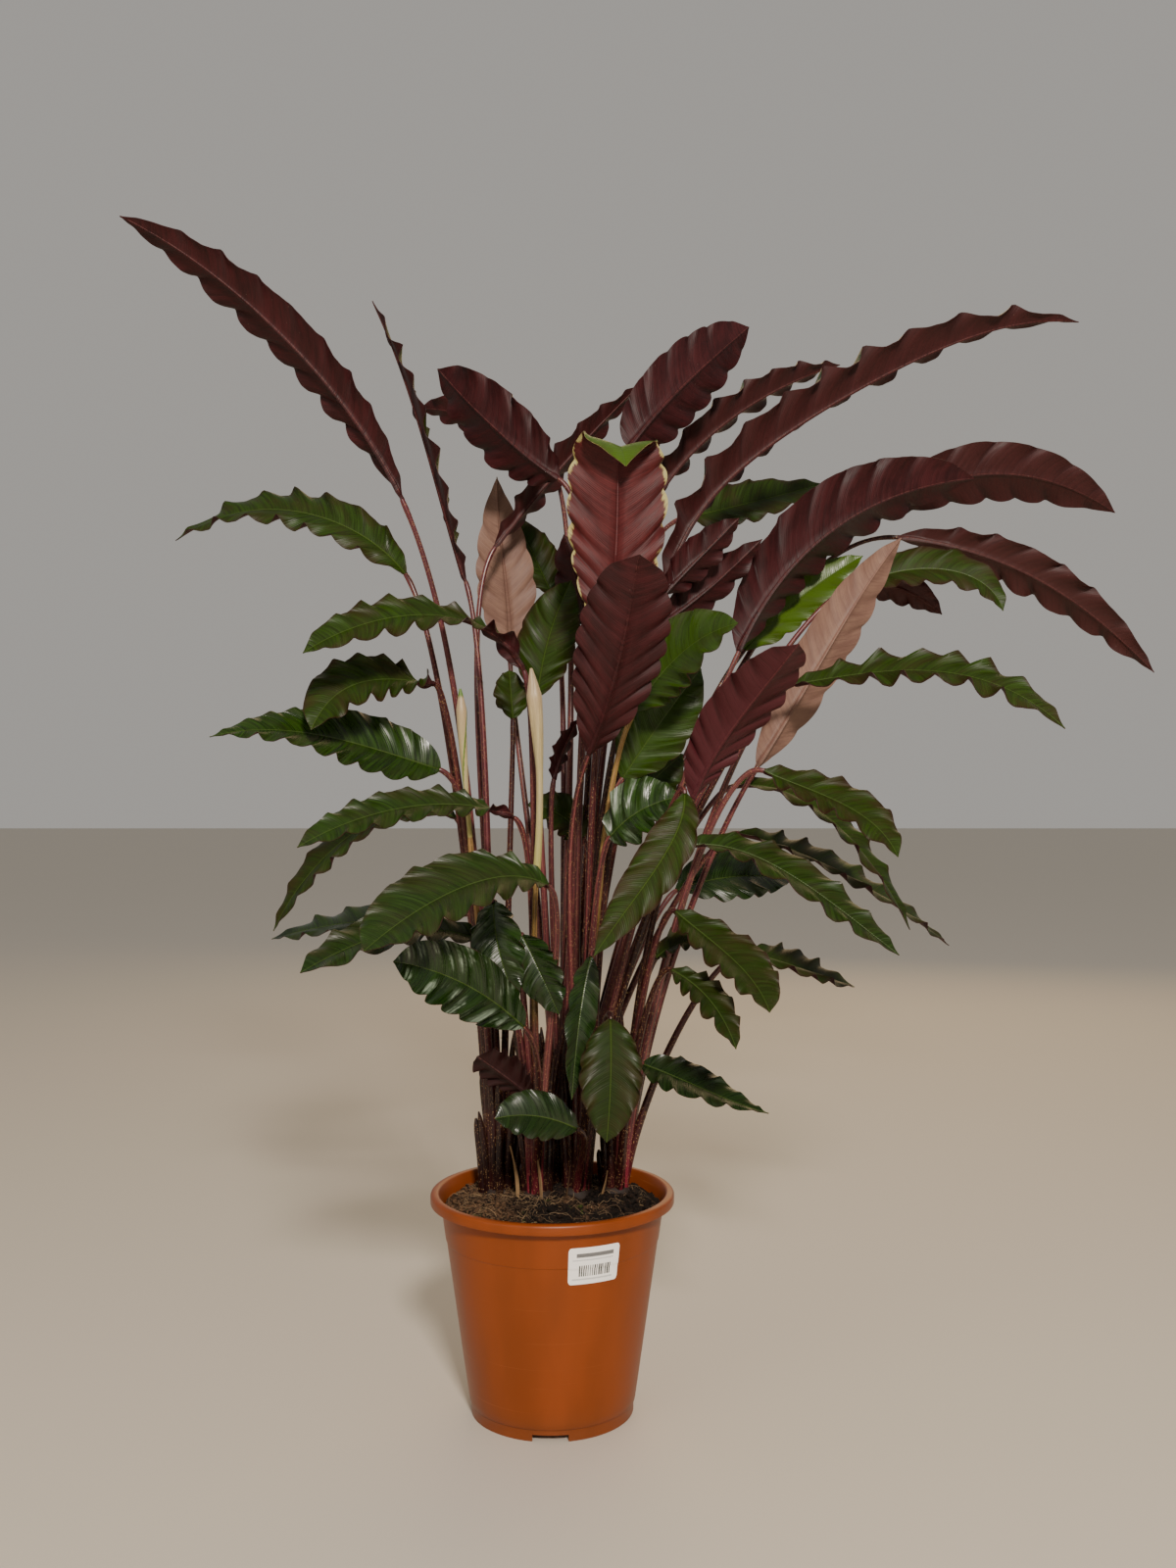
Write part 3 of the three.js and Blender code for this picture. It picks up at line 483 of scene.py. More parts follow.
def labelPaper():
    # label: coated paper, matt white, with plain printed bars and rules that say nothing
    material, tree, skin = newMaterial("coatedPaper")
    across, up, _ = readMap(tree, "labelMap")
    # the bars stand at even gaps, each with its own width
    place = addNode(tree, "over", across, labelLook["barGap"])
    wide = addNode(tree, "chance", addNode(tree, "whole", place))
    bar = addNode(tree, "below", addNode(tree, "fraction", place),
                  addNode(tree, "timesPlus", wide, 0.4, 0.32))

    def inside(value, low, high):
        return addNode(tree, "times", addNode(tree, "above", value, low),
                       addNode(tree, "below", value, high))

    def box(left, right, bottom, top):
        return addNode(tree, "times", inside(across, left, right), inside(up, bottom, top))

    bothRules = addNode(tree, "plus", inside(up, *labelLook["upperRule"]),
                        inside(up, *labelLook["lowerRule"]))
    rules = addNode(tree, "times", inside(across, *labelLook["ruleSides"]), bothRules)
    printed = layered(tree, colour(labelLook["paper"]), labelLook, [
        (addNode(tree, "times", bar, box(*labelLook["barBox"])), "bar"),
        (addNode(tree, "times", box(*labelLook["headingBox"]), 0.85), "heading"),
        (addNode(tree, "times", rules, 0.4), "rule"),
    ])
    tree.links.new(printed, skin.inputs["Base Color"])
    skin.inputs["Roughness"].default_value = 0.55
    pulp = addNode(tree, "noise", addNode(tree, "place").node.outputs["Object"], 1600.0, 2.0, 0.55)
    tree.links.new(addNode(tree, "relief", 0.2, 0.00005, None, pulp), skin.inputs["Normal"])
    return material


soilLook = {"shadedPit": "#090503", "crumb": "#26170e", "dry": "#76583f", "grit": "#8a6e54", "moss": "#3c4a18"}


def pottingSoil():
    # soil: dark moist peat and bark, fibrous brown where it has dried, and painted near black in the pits
    # of its relief as shade
    material, tree, skin = newMaterial("moistPeat")
    where = addNode(tree, "place").node.outputs["Object"]
    x, y, _ = addNode(tree, "split", where).node.outputs
    crumbs = addNode(tree, "noise", where, 420.0, 5.0, 0.65)
    grit = addNode(tree, "noise", where, 1100.0, 3.0, 0.6)
    drier = addNode(tree, "noise", addNode(tree, "move", where, (0.31, 0.0, 0.0)), 26.0, 3.0, 0.55)
    # painted shade: the noise that sinks the pits in the relief also paints them near black
    body = addNode(tree, "blend", addNode(tree, "ease", crumbs, 0.4, 0.72), colour(soilLook["shadedPit"]),
                   colour(soilLook["crumb"]))
    leftward = addNode(tree, "times", addNode(tree, "ease", x, -0.012, -0.05),
                       addNode(tree, "ease", drier, 0.3, 0.5))
    dry = addNode(tree, "times",
                  addNode(tree, "largest", addNode(tree, "ease", drier, 0.6, 0.74), leftward),
                  addNode(tree, "ease", crumbs, 0.38, 0.6))
    moss = addNode(tree, "noise", addNode(tree, "move", where, (0.0, 0.7, 0.0)), 60.0, 3.0, 0.55)
    mossy = addNode(tree, "times", addNode(tree, "ease", moss, 0.64, 0.7),
                    addNode(tree, "ease", y, 0.0, -0.05))
    body = layered(tree, body, soilLook, [
        (addNode(tree, "times", dry, 0.8), "dry"),
        (addNode(tree, "times", addNode(tree, "ease", grit, 0.62, 0.72), 0.35), "grit"),
        (addNode(tree, "times", mossy, 0.7), "moss"),
    ])
    tree.links.new(body, skin.inputs["Base Color"])
    skin.inputs["Roughness"].default_value = 0.9
    skin.inputs["Specular IOR Level"].default_value = 0.25
    tree.links.new(addNode(tree, "relief", 0.8, 0.002, None, crumbs), skin.inputs["Normal"])
    return material


fibreLook = {
    "driedRoot": {"dark": "#4a3222", "light": "#a98c66"},
    "oldRootstock": {"dark": "#150c08", "light": "#2e1c12"},
    "driedSheath": {"dark": "#60442a", "light": "#94754f"},
    "all": {"stain": "#2c1c12"},
}


def dryFibre(name):
    # roots, rootstock and old leaf sheaths: dried plant fibre, with darker stains
    look = {**fibreLook["all"], **fibreLook[name]}
    material, tree, skin = newMaterial(name)
    tone = readMap(tree, "stalkTone")[0]
    where = addNode(tree, "place").node.outputs["Object"]
    stains = addNode(tree, "times", addNode(tree, "noise", where, 300.0, 3.0, 0.55), 0.5)
    body = addNode(tree, "blend", tone, colour(look["dark"]), colour(look["light"]))
    body = layered(tree, body, look, [(stains, "stain")])
    tree.links.new(body, skin.inputs["Base Color"])
    skin.inputs["Roughness"].default_value = 0.75
    return material


finish = {
    "upper": waxedLeaf(),
    "purple": velvetUnderside("velvetPlum"),
    "pale": velvetUnderside("velvetPinkTan"),
    "red": velvetUnderside("velvetBrick"),
    "stalk": hairyStalk(),
    "hair": plainHair(),
    "rolled": rolledLeafSkin(),
    "pot": mouldedPlastic(),
    "paper": labelPaper(),
    "soil": pottingSoil(),
    "root": dryFibre("driedRoot"),
    "crown": dryFibre("oldRootstock"),
    "sheath": dryFibre("driedSheath"),
}
print("finishes made:", len(finish))

# Leaves

# What grows from each crown, in millimetres: the side that shows, its width, how its stalk bends, the way
# its upper side looks from base to tip, and the points that its midrib runs through
leafTable = {
    "left": [
        {"side": "purple", "stalk": 0.62, "waves": 10, "wave": 0.8, "basePower": 0.85, "tipPower": 0.85,
         "width": 46, "neck": 120,
         "face": [[0.5, 0.7, 0.5], [0.3, 0.7, 0.7]],
         "rib": [[-115, -20, 705], [-164, -42, 782], [-231, -75, 847], [-302, -115, 887]]},
        {"side": "green", "tone": 0.7, "stalk": 0.6, "width": 42, "neck": 60,
         "face": [[0.97, 0.14, 0.3], [0.95, 0.14, 0.3]],
         "rib": [[-71, 40, 650], [-95, 50, 730], [-119, 60, 808], [-151, 70, 888]]},
        {"side": "green", "tone": 0.6, "stalk": 0.5, "wave": 1.25, "width": 44, "neck": 50,
         "face": [[0.1, -0.9, 0.4], [-0.2, -0.5, 0.85]],
         "rib": [[-116, 10, 652], [-168, 28, 694], [-240, 50, 711], [-316, 75, 690]]},
        {"side": "green", "tone": 0.65, "stalk": 0.4, "waves": 7, "twist": 2.2, "baseFold": 45,
         "tipPower": 0.6, "width": 50, "neck": 18,
         "face": [[0.2, -0.6, 0.75], [0, -0.8, 0.6]],
         "rib": [[-90, -20, 564], [-120, -42, 566], [-150, -65, 558], [-172, -90, 526]]},
        {"side": "green", "tone": 0.4, "stalk": 0.55, "waves": 9, "wave": 0.6, "basePower": 0.55,
         "tipPower": 1.15, "width": 54, "neck": 40,
         "face": [[0, -0.85, 0.5], [0, -0.8, 0.6]],
         "rib": [[-87, -10, 498], [-142, -35, 516], [-192, -75, 526], [-236, -125, 520]]},
        {"side": "green", "tone": 0.65, "waves": 9, "width": 36, "neck": 20,
         "face": [[-0.1, -0.5, 0.85], [-0.6, -0.8, 0.3]],
         "rib": [[-78, 30, 459], [-132, 45, 463], [-192, 75, 426], [-242, 110, 361]]},
        {"side": "green", "tone": 0.4, "width": 38, "neck": 25, "face": [[0, -0.6, 0.8], [0, -0.6, 0.8]],
         "rib": [[-66, 50, 381], [-124, 75, 376], [-186, 110, 367], [-252, 150, 350]]},
        {"side": "purple", "tone": 0.1, "stalk": 0.62, "width": 38, "neck": 60,
         "face": [[-0.4, 0.5, 0.75], [-0.3, 0.5, 0.75]],
         "rib": [[-51, 90, 686], [-10, 103, 740], [30, 117, 788], [73, 130, 835]]},
    ],
    "front": [
        {"side": "green", "tone": 0.62, "twist": 2.2, "baseFold": 45, "waves": 9, "wave": 1.3,
         "tipPower": 0.62, "width": 38, "neck": 25,
         "face": [[0.5, 0.4, 0.6], [0, -0.95, 0.4]],
         "rib": [[-21, -25, 573], [-62, -45, 609], [-118, -85, 607], [-170, -130, 578]]},
        {"side": "green", "tone": 0.5, "twist": 2.2, "baseFold": 45, "waves": 9, "wave": 1.15,
         "tipPower": 0.62, "stalk": 0.5, "width": 34, "neck": 22,
         "face": [[0.2, -0.5, 0.8], [0, -0.8, 0.6]],
         "rib": [[-28, -30, 461], [-73, -55, 472], [-123, -100, 466], [-170, -150, 444]]},
        {"side": "green", "tone": 0.5, "waves": 8, "wave": 0.7, "waveReach": 2.8, "tipPower": 0.65,
         "width": 60, "neck": 25,
         "face": [[0, -0.6, 0.8], [-0.1, -0.8, 0.6]],
         "rib": [[-1, -75, 412], [-42, -110, 420], [-85, -155, 403], [-117, -200, 379]]},
        {"side": "green", "tone": 0.0, "waves": 7, "wave": 0.95, "waveReach": 0.9, "tipPower": 0.6,
         "width": 50, "neck": 30,
         "face": [[0.13, -0.93, 0.3], [0.13, -0.93, 0.3]],
         "rib": [[-19, -75, 309], [-46, -96, 335], [-75, -120, 354], [-106, -140, 365]]},
        {"side": "green", "tone": 0.05, "stalk": 0.1, "width": 40, "neck": 20,
         "face": [[-0.3, -1, 0.1], [-0.1, -1, 0.1]],
         "rib": [[-43, -48, 398], [-38, -68, 366], [-25, -70, 328]]},
        {"side": "green", "tone": 0.45, "tipPower": 0.65, "width": 40, "neck": 25,
         "face": [[0, -0.6, 0.8], [0, -0.6, 0.8]],
         "rib": [[-47, -45, 367], [-92, -70, 380], [-132, -105, 375], [-169, -145, 358]]},
    ],
    "middle": [
        {"side": "green", "tone": 0.6, "wave": 0.8, "waves": 6, "waveReach": 4.5, "width": 46, "neck": 25,
         "face": [[0, -1, 0.2], [0, -1, 0.2]],
         "rib": [[44, -85, 317], [44, -98, 275], [41, -100, 231]]},
        {"side": "green", "tone": 0.3, "wave": 0.7, "width": 26, "neck": 30,
         "face": [[0.5, -0.8, 0.1], [0.5, -0.8, 0.1]],
         "rib": [[30, -72, 361], [22, -85, 320], [16, -88, 259]]},
        {"side": "purple", "tone": 1.0, "waves": 8, "wave": 0.4, "waveReach": 1.2, "width": 56,
         "neck": 60, "tipPower": 0.55,
         "face": [[-0.4, 0.85, 0.3], [-0.4, 0.85, 0.3]],
         "rib": [[104, -80, 476], [123, -100, 515], [146, -130, 549], [169, -165, 581]]},
        {"side": "green", "tone": 0.06, "wave": 0.8, "waveReach": 1.0, "width": 56, "neck": 25,
         "face": [[-0.1, -0.8, 0.6], [-0.1, -0.8, 0.6]],
         "rib": [[44, -45, 447], [66, -60, 467], [96, -68, 478]]},
        {"side": "green", "tone": 0.86, "stalk": 0.6, "wave": 0.7, "waveReach": 1.2, "width": 54,
         "neck": 40,
         "face": [[0, -1, 0.1], [0, -1, 0.1]],
         "rib": [[54, -20, 491], [84, -18, 535], [115, -16, 576]]},
        {"side": "green", "tone": 0.78, "wave": 0.8, "stalk": 0.5, "width": 36, "neck": 32,
         "face": [[-0.2, -1, 0.3], [0, -1, 0.3]],
         "rib": [[96, -112, 481], [87, -118, 447], [62, -122, 409], [32, -124, 367]]},
        {"side": "purple", "tone": 0.2, "waves": 9, "wave": 0.3, "stalk": 0.55, "width": 66, "neck": 80,
         "tipPower": 0.5,
         "face": [[-0.1, 1, 0.3], [-0.1, 1, 0.3]],
         "rib": [[28, -80, 508], [44, -105, 553], [55, -125, 599], [63, -145, 644]]},
        {"side": "green", "tone": 0.87, "wave": 0.7, "stalk": 0.97, "width": 56, "neck": 50,
         "face": [[-0.2, -0.9, 0.4], [-0.2, -0.9, 0.4]],
         "rib": [[63, -40, 542], [85, -54, 572], [108, -75, 592], [135, -100, 602]]},
        {"side": "red", "tone": 1.0, "waves": 9, "wave": 0.35, "stalk": 0.5,
         "width": 78, "neck": 60, "tipPower": 0.5,
         "face": [[0, 1, 0], [0, 1, 0.1], [0, 1, 0.2], [0, 0.7, 0.7], [0, -0.6, 0.8]],
         "rib": [[40, -30, 590], [47, -32, 640], [50, -30, 690], [51, -30, 736], [56, -54, 724]]},
        {"side": "purple", "width": 34, "neck": 50, "face": [[-0.4, 0.85, 0.3], [-0.4, 0.85, 0.3]],
         "rib": [[87, -5, 635], [116, -3, 665], [146, 0, 695]]},
        {"side": "green", "tone": 0.4, "wave": 0.6, "waveReach": 3.5, "tipPower": 0.65, "width": 38,
         "neck": 14,
         "face": [[0, -0.85, 0.5], [0, -0.85, 0.5]],
         "rib": [[20, -60, 231], [-10, -70, 243], [-40, -78, 243]]},
    ],
    "right": [
        {"side": "green", "tone": 0.75, "wave": 0.85, "waveReach": 3.2, "tipPower": 0.7, "width": 46,
         "neck": 20,
         "face": [[0.2, -0.6, 0.75], [0.2, -0.6, 0.75]],
         "rib": [[92, -60, 393], [119, -85, 372], [140, -115, 353], [152, -145, 331]]},
        {"side": "green", "tone": 0.6, "wave": 0.8, "width": 42, "neck": 30,
         "face": [[0, -0.4, 0.9], [0, -0.4, 0.9]],
         "rib": [[153, -20, 358], [194, -10, 344], [238, 10, 327]]},
        {"side": "green", "tone": 0.6, "wave": 1.35, "waves": 6, "width": 30, "neck": 20,
         "face": [[0.3, -0.7, 0.6], [0.3, -0.7, 0.6]],
         "rib": [[88, -80, 352], [114, -110, 334], [129, -145, 306]]},
        {"side": "green", "tone": 0.3, "wave": 0.8, "waveReach": 3.0, "basePower": 0.55, "tipPower": 1.1,
         "width": 34, "neck": 28,
         "face": [[0, -0.7, 0.7], [0, -0.5, 0.8]],
         "rib": [[70, -22, 272], [98, -45, 265], [126, -74, 258], [156, -105, 253]]},
        {"side": "green", "tone": 0.55, "wave": 0.85, "width": 42, "neck": 25,
         "face": [[0.1, -0.45, 0.9], [0.1, -0.45, 0.9]],
         "rib": [[101, -58, 441], [153, -65, 433], [203, -85, 402], [248, -110, 366]]},
        {"side": "green", "tone": 0.78, "wave": 0.85, "width": 44, "neck": 40,
         "face": [[0, -0.5, 0.85], [0, -0.5, 0.85]],
         "rib": [[159, -50, 497], [194, -65, 482], [226, -90, 464], [245, -120, 436]]},
        {"side": "green", "tone": 0.76, "wave": 1.25, "waves": 8, "waveReach": 1.6, "width": 46, "neck": 40,
         "face": [[0, -0.55, 0.85], [0, -0.55, 0.85]],
         "rib": [[182, -40, 562], [245, -65, 570], [304, -100, 563], [354, -145, 525]]},
        {"side": "pale", "wave": 0.35, "stalk": 0.6, "width": 46, "neck": 60,
         "face": [[-0.3, 0.9, 0.2], [-0.3, 0.9, 0.2]],
         "rib": [[160, 0, 500], [199, 5, 563], [237, 12, 626], [277, 20, 683]]},
    ],
    "back": [
        {"side": "purple", "tone": 0.45, "waves": 9, "wave": 0.55,
         "width": 80, "neck": 60, "fold": 24, "tipPower": 0.7,
         "face": [[-0.25, 0.75, 0.6], [-0.25, 0.75, 0.6]],
         "rib": [[150, 45, 594], [199, 60, 669], [270, 85, 722], [362, 120, 751]]},
        {"side": "purple", "tone": 0.1, "waves": 11, "wave": 1.1, "width": 64, "neck": 60, "fold": 32,
         "face": [[-0.3, 0.4, 0.85], [-0.2, 0.35, 0.9]],
         "rib": [[93, 62, 648], [147, 70, 742], [237, 90, 809], [342, 115, 866], [460, 145, 894]]},
        {"side": "purple", "tone": 0.05, "wave": 1.15, "width": 46, "neck": 60, "fold": 28,
         "face": [[-0.4, 0.5, 0.75], [-0.3, 0.5, 0.8]],
         "rib": [[80, 110, 720], [128, 130, 785], [192, 160, 836], [259, 200, 872]]},
        {"side": "purple", "tone": 0.08, "waves": 7, "wave": 0.6, "width": 58, "neck": 120,
         "tipPower": 0.75,
         "face": [[-0.2, 0.85, 0.5], [0.2, 0.8, 0.5]],
         "rib": [[266, 140, 717], [351, 160, 758], [434, 185, 765], [517, 215, 739]]},
        {"side": "purple", "tone": 0.04, "wave": 1.1, "width": 46, "neck": 120,
         "face": [[0.2, 0.7, 0.6], [0.5, 0.7, 0.5]],
         "rib": [[301, 150, 705], [386, 150, 686], [465, 165, 648], [540, 180, 588]]},
        {"side": "purple", "width": 36, "neck": 50, "face": [[-0.4, 0.85, 0.3], [-0.4, 0.85, 0.3]],
         "rib": [[86, 22, 615], [124, 24, 643], [167, 27, 683]]},
        {"side": "green", "tone": 1.0, "wave": 0.6, "width": 44, "neck": 60,
         "face": [[0, -0.9, 0.4], [0, -0.9, 0.4]],
         "rib": [[161, 107, 601], [208, 113, 645], [265, 119, 684]]},
        {"side": "purple", "tone": 0.3, "waves": 7, "wave": 0.4, "basePower": 0.5,
         "width": 62, "neck": 80, "tipPower": 0.6,
         "face": [[-0.3, 0.85, 0.35], [-0.3, 0.85, 0.35]],
         "rib": [[61, 30, 757], [92, 45, 797], [129, 75, 839], [165, 105, 877]]},
        {"side": "purple", "waves": 6, "wave": 0.75, "waveReach": 2.8, "width": 62,
         "neck": 60, "tipPower": 0.6,
         "face": [[0.4, 0.8, 0.4], [0.4, 0.8, 0.4]],
         "rib": [[4, 40, 734], [-27, 47, 758], [-62, 65, 793], [-99, 90, 837]]},
        {"side": "purple", "width": 44, "neck": 60, "face": [[0.2, 0.7, 0.6], [0.2, 0.7, 0.6]],
         "rib": [[-10, 150, 775], [-69, 185, 817], [-129, 225, 838]]},
        {"side": "green", "width": 50, "neck": 40, "face": [[0, -1, 0.1], [0, -1, 0.1]],
         "rib": [[-14, 58, 558], [-4, 64, 610], [14, 70, 656]]},
        {"side": "green", "tone": 0.7, "wave": 0.8, "width": 46, "neck": 80,
         "face": [[0, -0.9, 0.4], [0, -0.9, 0.4]],
         "rib": [[114, 170, 726], [170, 195, 743], [251, 240, 771]]},
        {"side": "green", "tone": 0.78, "wave": 0.8, "width": 42, "neck": 60,
         "face": [[0, -0.8, 0.6], [0, -0.8, 0.6]],
         "rib": [[242, 40, 645], [288, 37, 660], [334, 34, 655], [361, 30, 626]]},
        {"side": "green", "tone": 0.7, "wave": 0.9, "width": 42, "neck": 30,
         "face": [[0.1, -0.45, 0.9], [0.1, -0.45, 0.9]],
         "rib": [[150, 48, 447], [213, 65, 426], [278, 90, 391], [341, 125, 347]]},
        {"side": "green", "tone": 0.75, "wave": 0.9, "width": 38, "neck": 30,
         "face": [[0.1, -0.4, 0.9], [0.6, -0.4, 0.6]],
         "rib": [[142, 18, 485], [197, 15, 475], [245, 12, 433], [282, 10, 372]]},
        {"side": "green", "tone": 0.2, "wave": 0.7, "width": 50, "neck": 20,
         "face": [[0, -0.85, 0.5], [0, -0.85, 0.5]],
         "rib": [[101, 75, 398], [150, 100, 408], [206, 130, 404]]},
        {"side": "pale", "wave": 0.35, "tipPower": 1.1, "width": 52, "neck": 60,
         "face": [[0, 1, 0.2], [0, 1, 0.2]],
         "rib": [[-40, 128, 602], [-43, 130, 653], [-49, 134, 707], [-52, 138, 756]]},
    ],
}

# small leaves deep between the others
smallTable = {
    "left": [
        {"side": "green", "width": 30, "neck": 16, "face": [[0.2, -1, 0.2], [0.2, -1, 0.2]],
         "rib": [[-34, 58, 540], [-36, 66, 562], [-38, 76, 582]]},
    ],
    "front": [
        {"side": "purple", "tone": 0.1, "stalk": 0.2, "waves": 6, "tipPower": 0.45, "width": 40,
         "neck": 20, "face": [[0.3, 0.8, 0.5], [0.3, 0.8, 0.5]],
         "rib": [[-16, -40, 252], [-35, -47, 268], [-55, -54, 284]]},
        {"side": "green", "width": 36, "neck": 14, "face": [[-0.3, -1, 0.1], [-0.3, -1, 0.1]],
         "rib": [[-22, -40, 373], [-8, -46, 345], [6, -46, 314]]},
    ],
    "middle": [
        {"side": "green", "width": 44, "neck": 30, "face": [[0, -1, 0.3], [0, -1, 0.3]],
         "rib": [[50, 20, 458], [78, 26, 488], [104, 30, 511]]},
    ],
    "right": [
        {"side": "green", "width": 34, "neck": 20, "face": [[0.1, -0.5, 0.9], [0.1, -0.5, 0.9]],
         "rib": [[80, -20, 353], [98, -28, 366], [116, -38, 366]]},
    ],
    "back": [
        {"side": "green", "width": 42, "neck": 40, "face": [[0.2, -1, 0.2], [0.2, -1, 0.2]],
         "rib": [[-4, 160, 655], [-20, 166, 690], [-38, 172, 726]]},
        {"side": "purple", "stalk": 0.3, "width": 40, "neck": 50, "face": [[0.2, 1, 0.2], [0.2, 1, 0.2]],
         "rib": [[28, 95, 620], [18, 100, 660], [7, 106, 700]]},
        {"side": "purple", "width": 24, "neck": 30, "face": [[-0.9, 0.5, 0.2], [-0.9, 0.5, 0.2]],
         "rib": [[0, 40, 490], [8, 42, 515], [20, 44, 540]]},
        {"side": "green", "width": 40, "neck": 20, "face": [[0, -0.8, 0.6], [0, -0.8, 0.6]],
         "rib": [[24, 75, 442], [4, 66, 462], [-22, 60, 470]]},
        {"side": "purple", "tone": 0.05, "width": 32, "neck": 60,
         "face": [[0.2, 0.8, 0.5], [0.2, 0.8, 0.5]],
         "rib": [[246, 66, 650], [284, 68, 650], [322, 72, 628]]},
    ],
}

rolledTable = {
    "left": {"crown": "left", "radius": 4.5, "neck": 60, "stalk": 0.95, "seam": 2.4, "green": 1.0,
             "neckEnd": 0.2, "rib": [[-63, -20, 446], [-67, -23, 503], [-70, -26, 560]]},
    "front": {"crown": "front", "radius": 6.5, "neck": 60, "stalk": 0.95, "seam": 0.4, "green": 0.3,
              "neckEnd": 0.45, "rib": [[-11, -40, 422], [-9, -43, 500], [-15, -45, 574]]},
}

leafShape = {
    "foldDegrees": 16, "waveShare": 0.21, "waveGap": 58, "basePower": 0.7, "tipPower": 0.82, "point": 0.93,
    "thick": 0.45, "rowsPerHalfWave": 7, "outerColumns": 8, "veinLean": 0.85, "ribBase": 2.0, "ribTip": 0.4,
    "baseFold": 24, "waveReach": 1.9, "scallop": 0.06, "unevenness": 0.36, "skew": 0.25, "crinkle": 0.05,
    "ribWidth": 1.15, "ribDepth": 0.9, "fewestWaves": 3.6, "crease": 62, "mostLean": 0.2, "veinCurve": 1.25,
    "twistReach": 0.13, "baseFoldReach": 0.07, "endFade": 6,
}


def through(points, t):
    # places at t on the smooth curve that passes through evenly spaced points
    last = len(points) - 1
    places = np.zeros((len(t), 3))
    for i, point in enumerate(points):
        weight = np.ones(len(t))
        for j in range(last + 1):
            if j != i:
                weight *= (t * last - j) / (i - j)
        places += weight[:, None] * np.array(point, float)
    return places


def unit(vectors):
    return vectors / np.maximum(np.linalg.norm(vectors, axis=-1, keepdims=True), 1e-12)


def tangents(points, t):
    return unit(through(points, t + 1e-3) - through(points, t - 1e-3))


def facing(face, t, along):
    # the way the upper side looks at t, square to the midrib
    face = np.array(face, float)
    place = np.clip(t * (len(face) - 1), 0, len(face) - 1.001)
    step = place.astype(int)
    share = (place - step)[:, None]
    look = face[step] * (1 - share) + face[step + 1] * share
    return unit(look - along * np.sum(look * along, axis=1, keepdims=True))


def outline(t, basePower, tipPower):
    # share of the half width: round sides, then a straight taper to the point
    widest = basePower / (basePower + tipPower)
    t = np.clip(t, 0, 1)
    point = leafShape["point"]
    taper = (point / widest) ** basePower * ((1 - point) / (1 - widest)) ** tipPower * (1 - t) / (1 - point)
    curve = (t / widest) ** basePower * ((1 - t) / (1 - widest)) ** tipPower
    return np.where(t > point, np.minimum(taper, curve), curve)


def ribLength(rib):
    places = through(rib, np.linspace(0, 1, 41))
    return float(np.linalg.norm(np.diff(places, axis=0), axis=1).sum())


def flute(phase):
    # a margin wave: a sharp ridge on the upper side that leans to the tip, then a round hollow
    turned = phase + leafShape["skew"] * np.sin(phase)
    return 1 - 2 * np.sqrt(np.sin(turned / 2) ** 2 + 0.03) / math.sqrt(1.03)


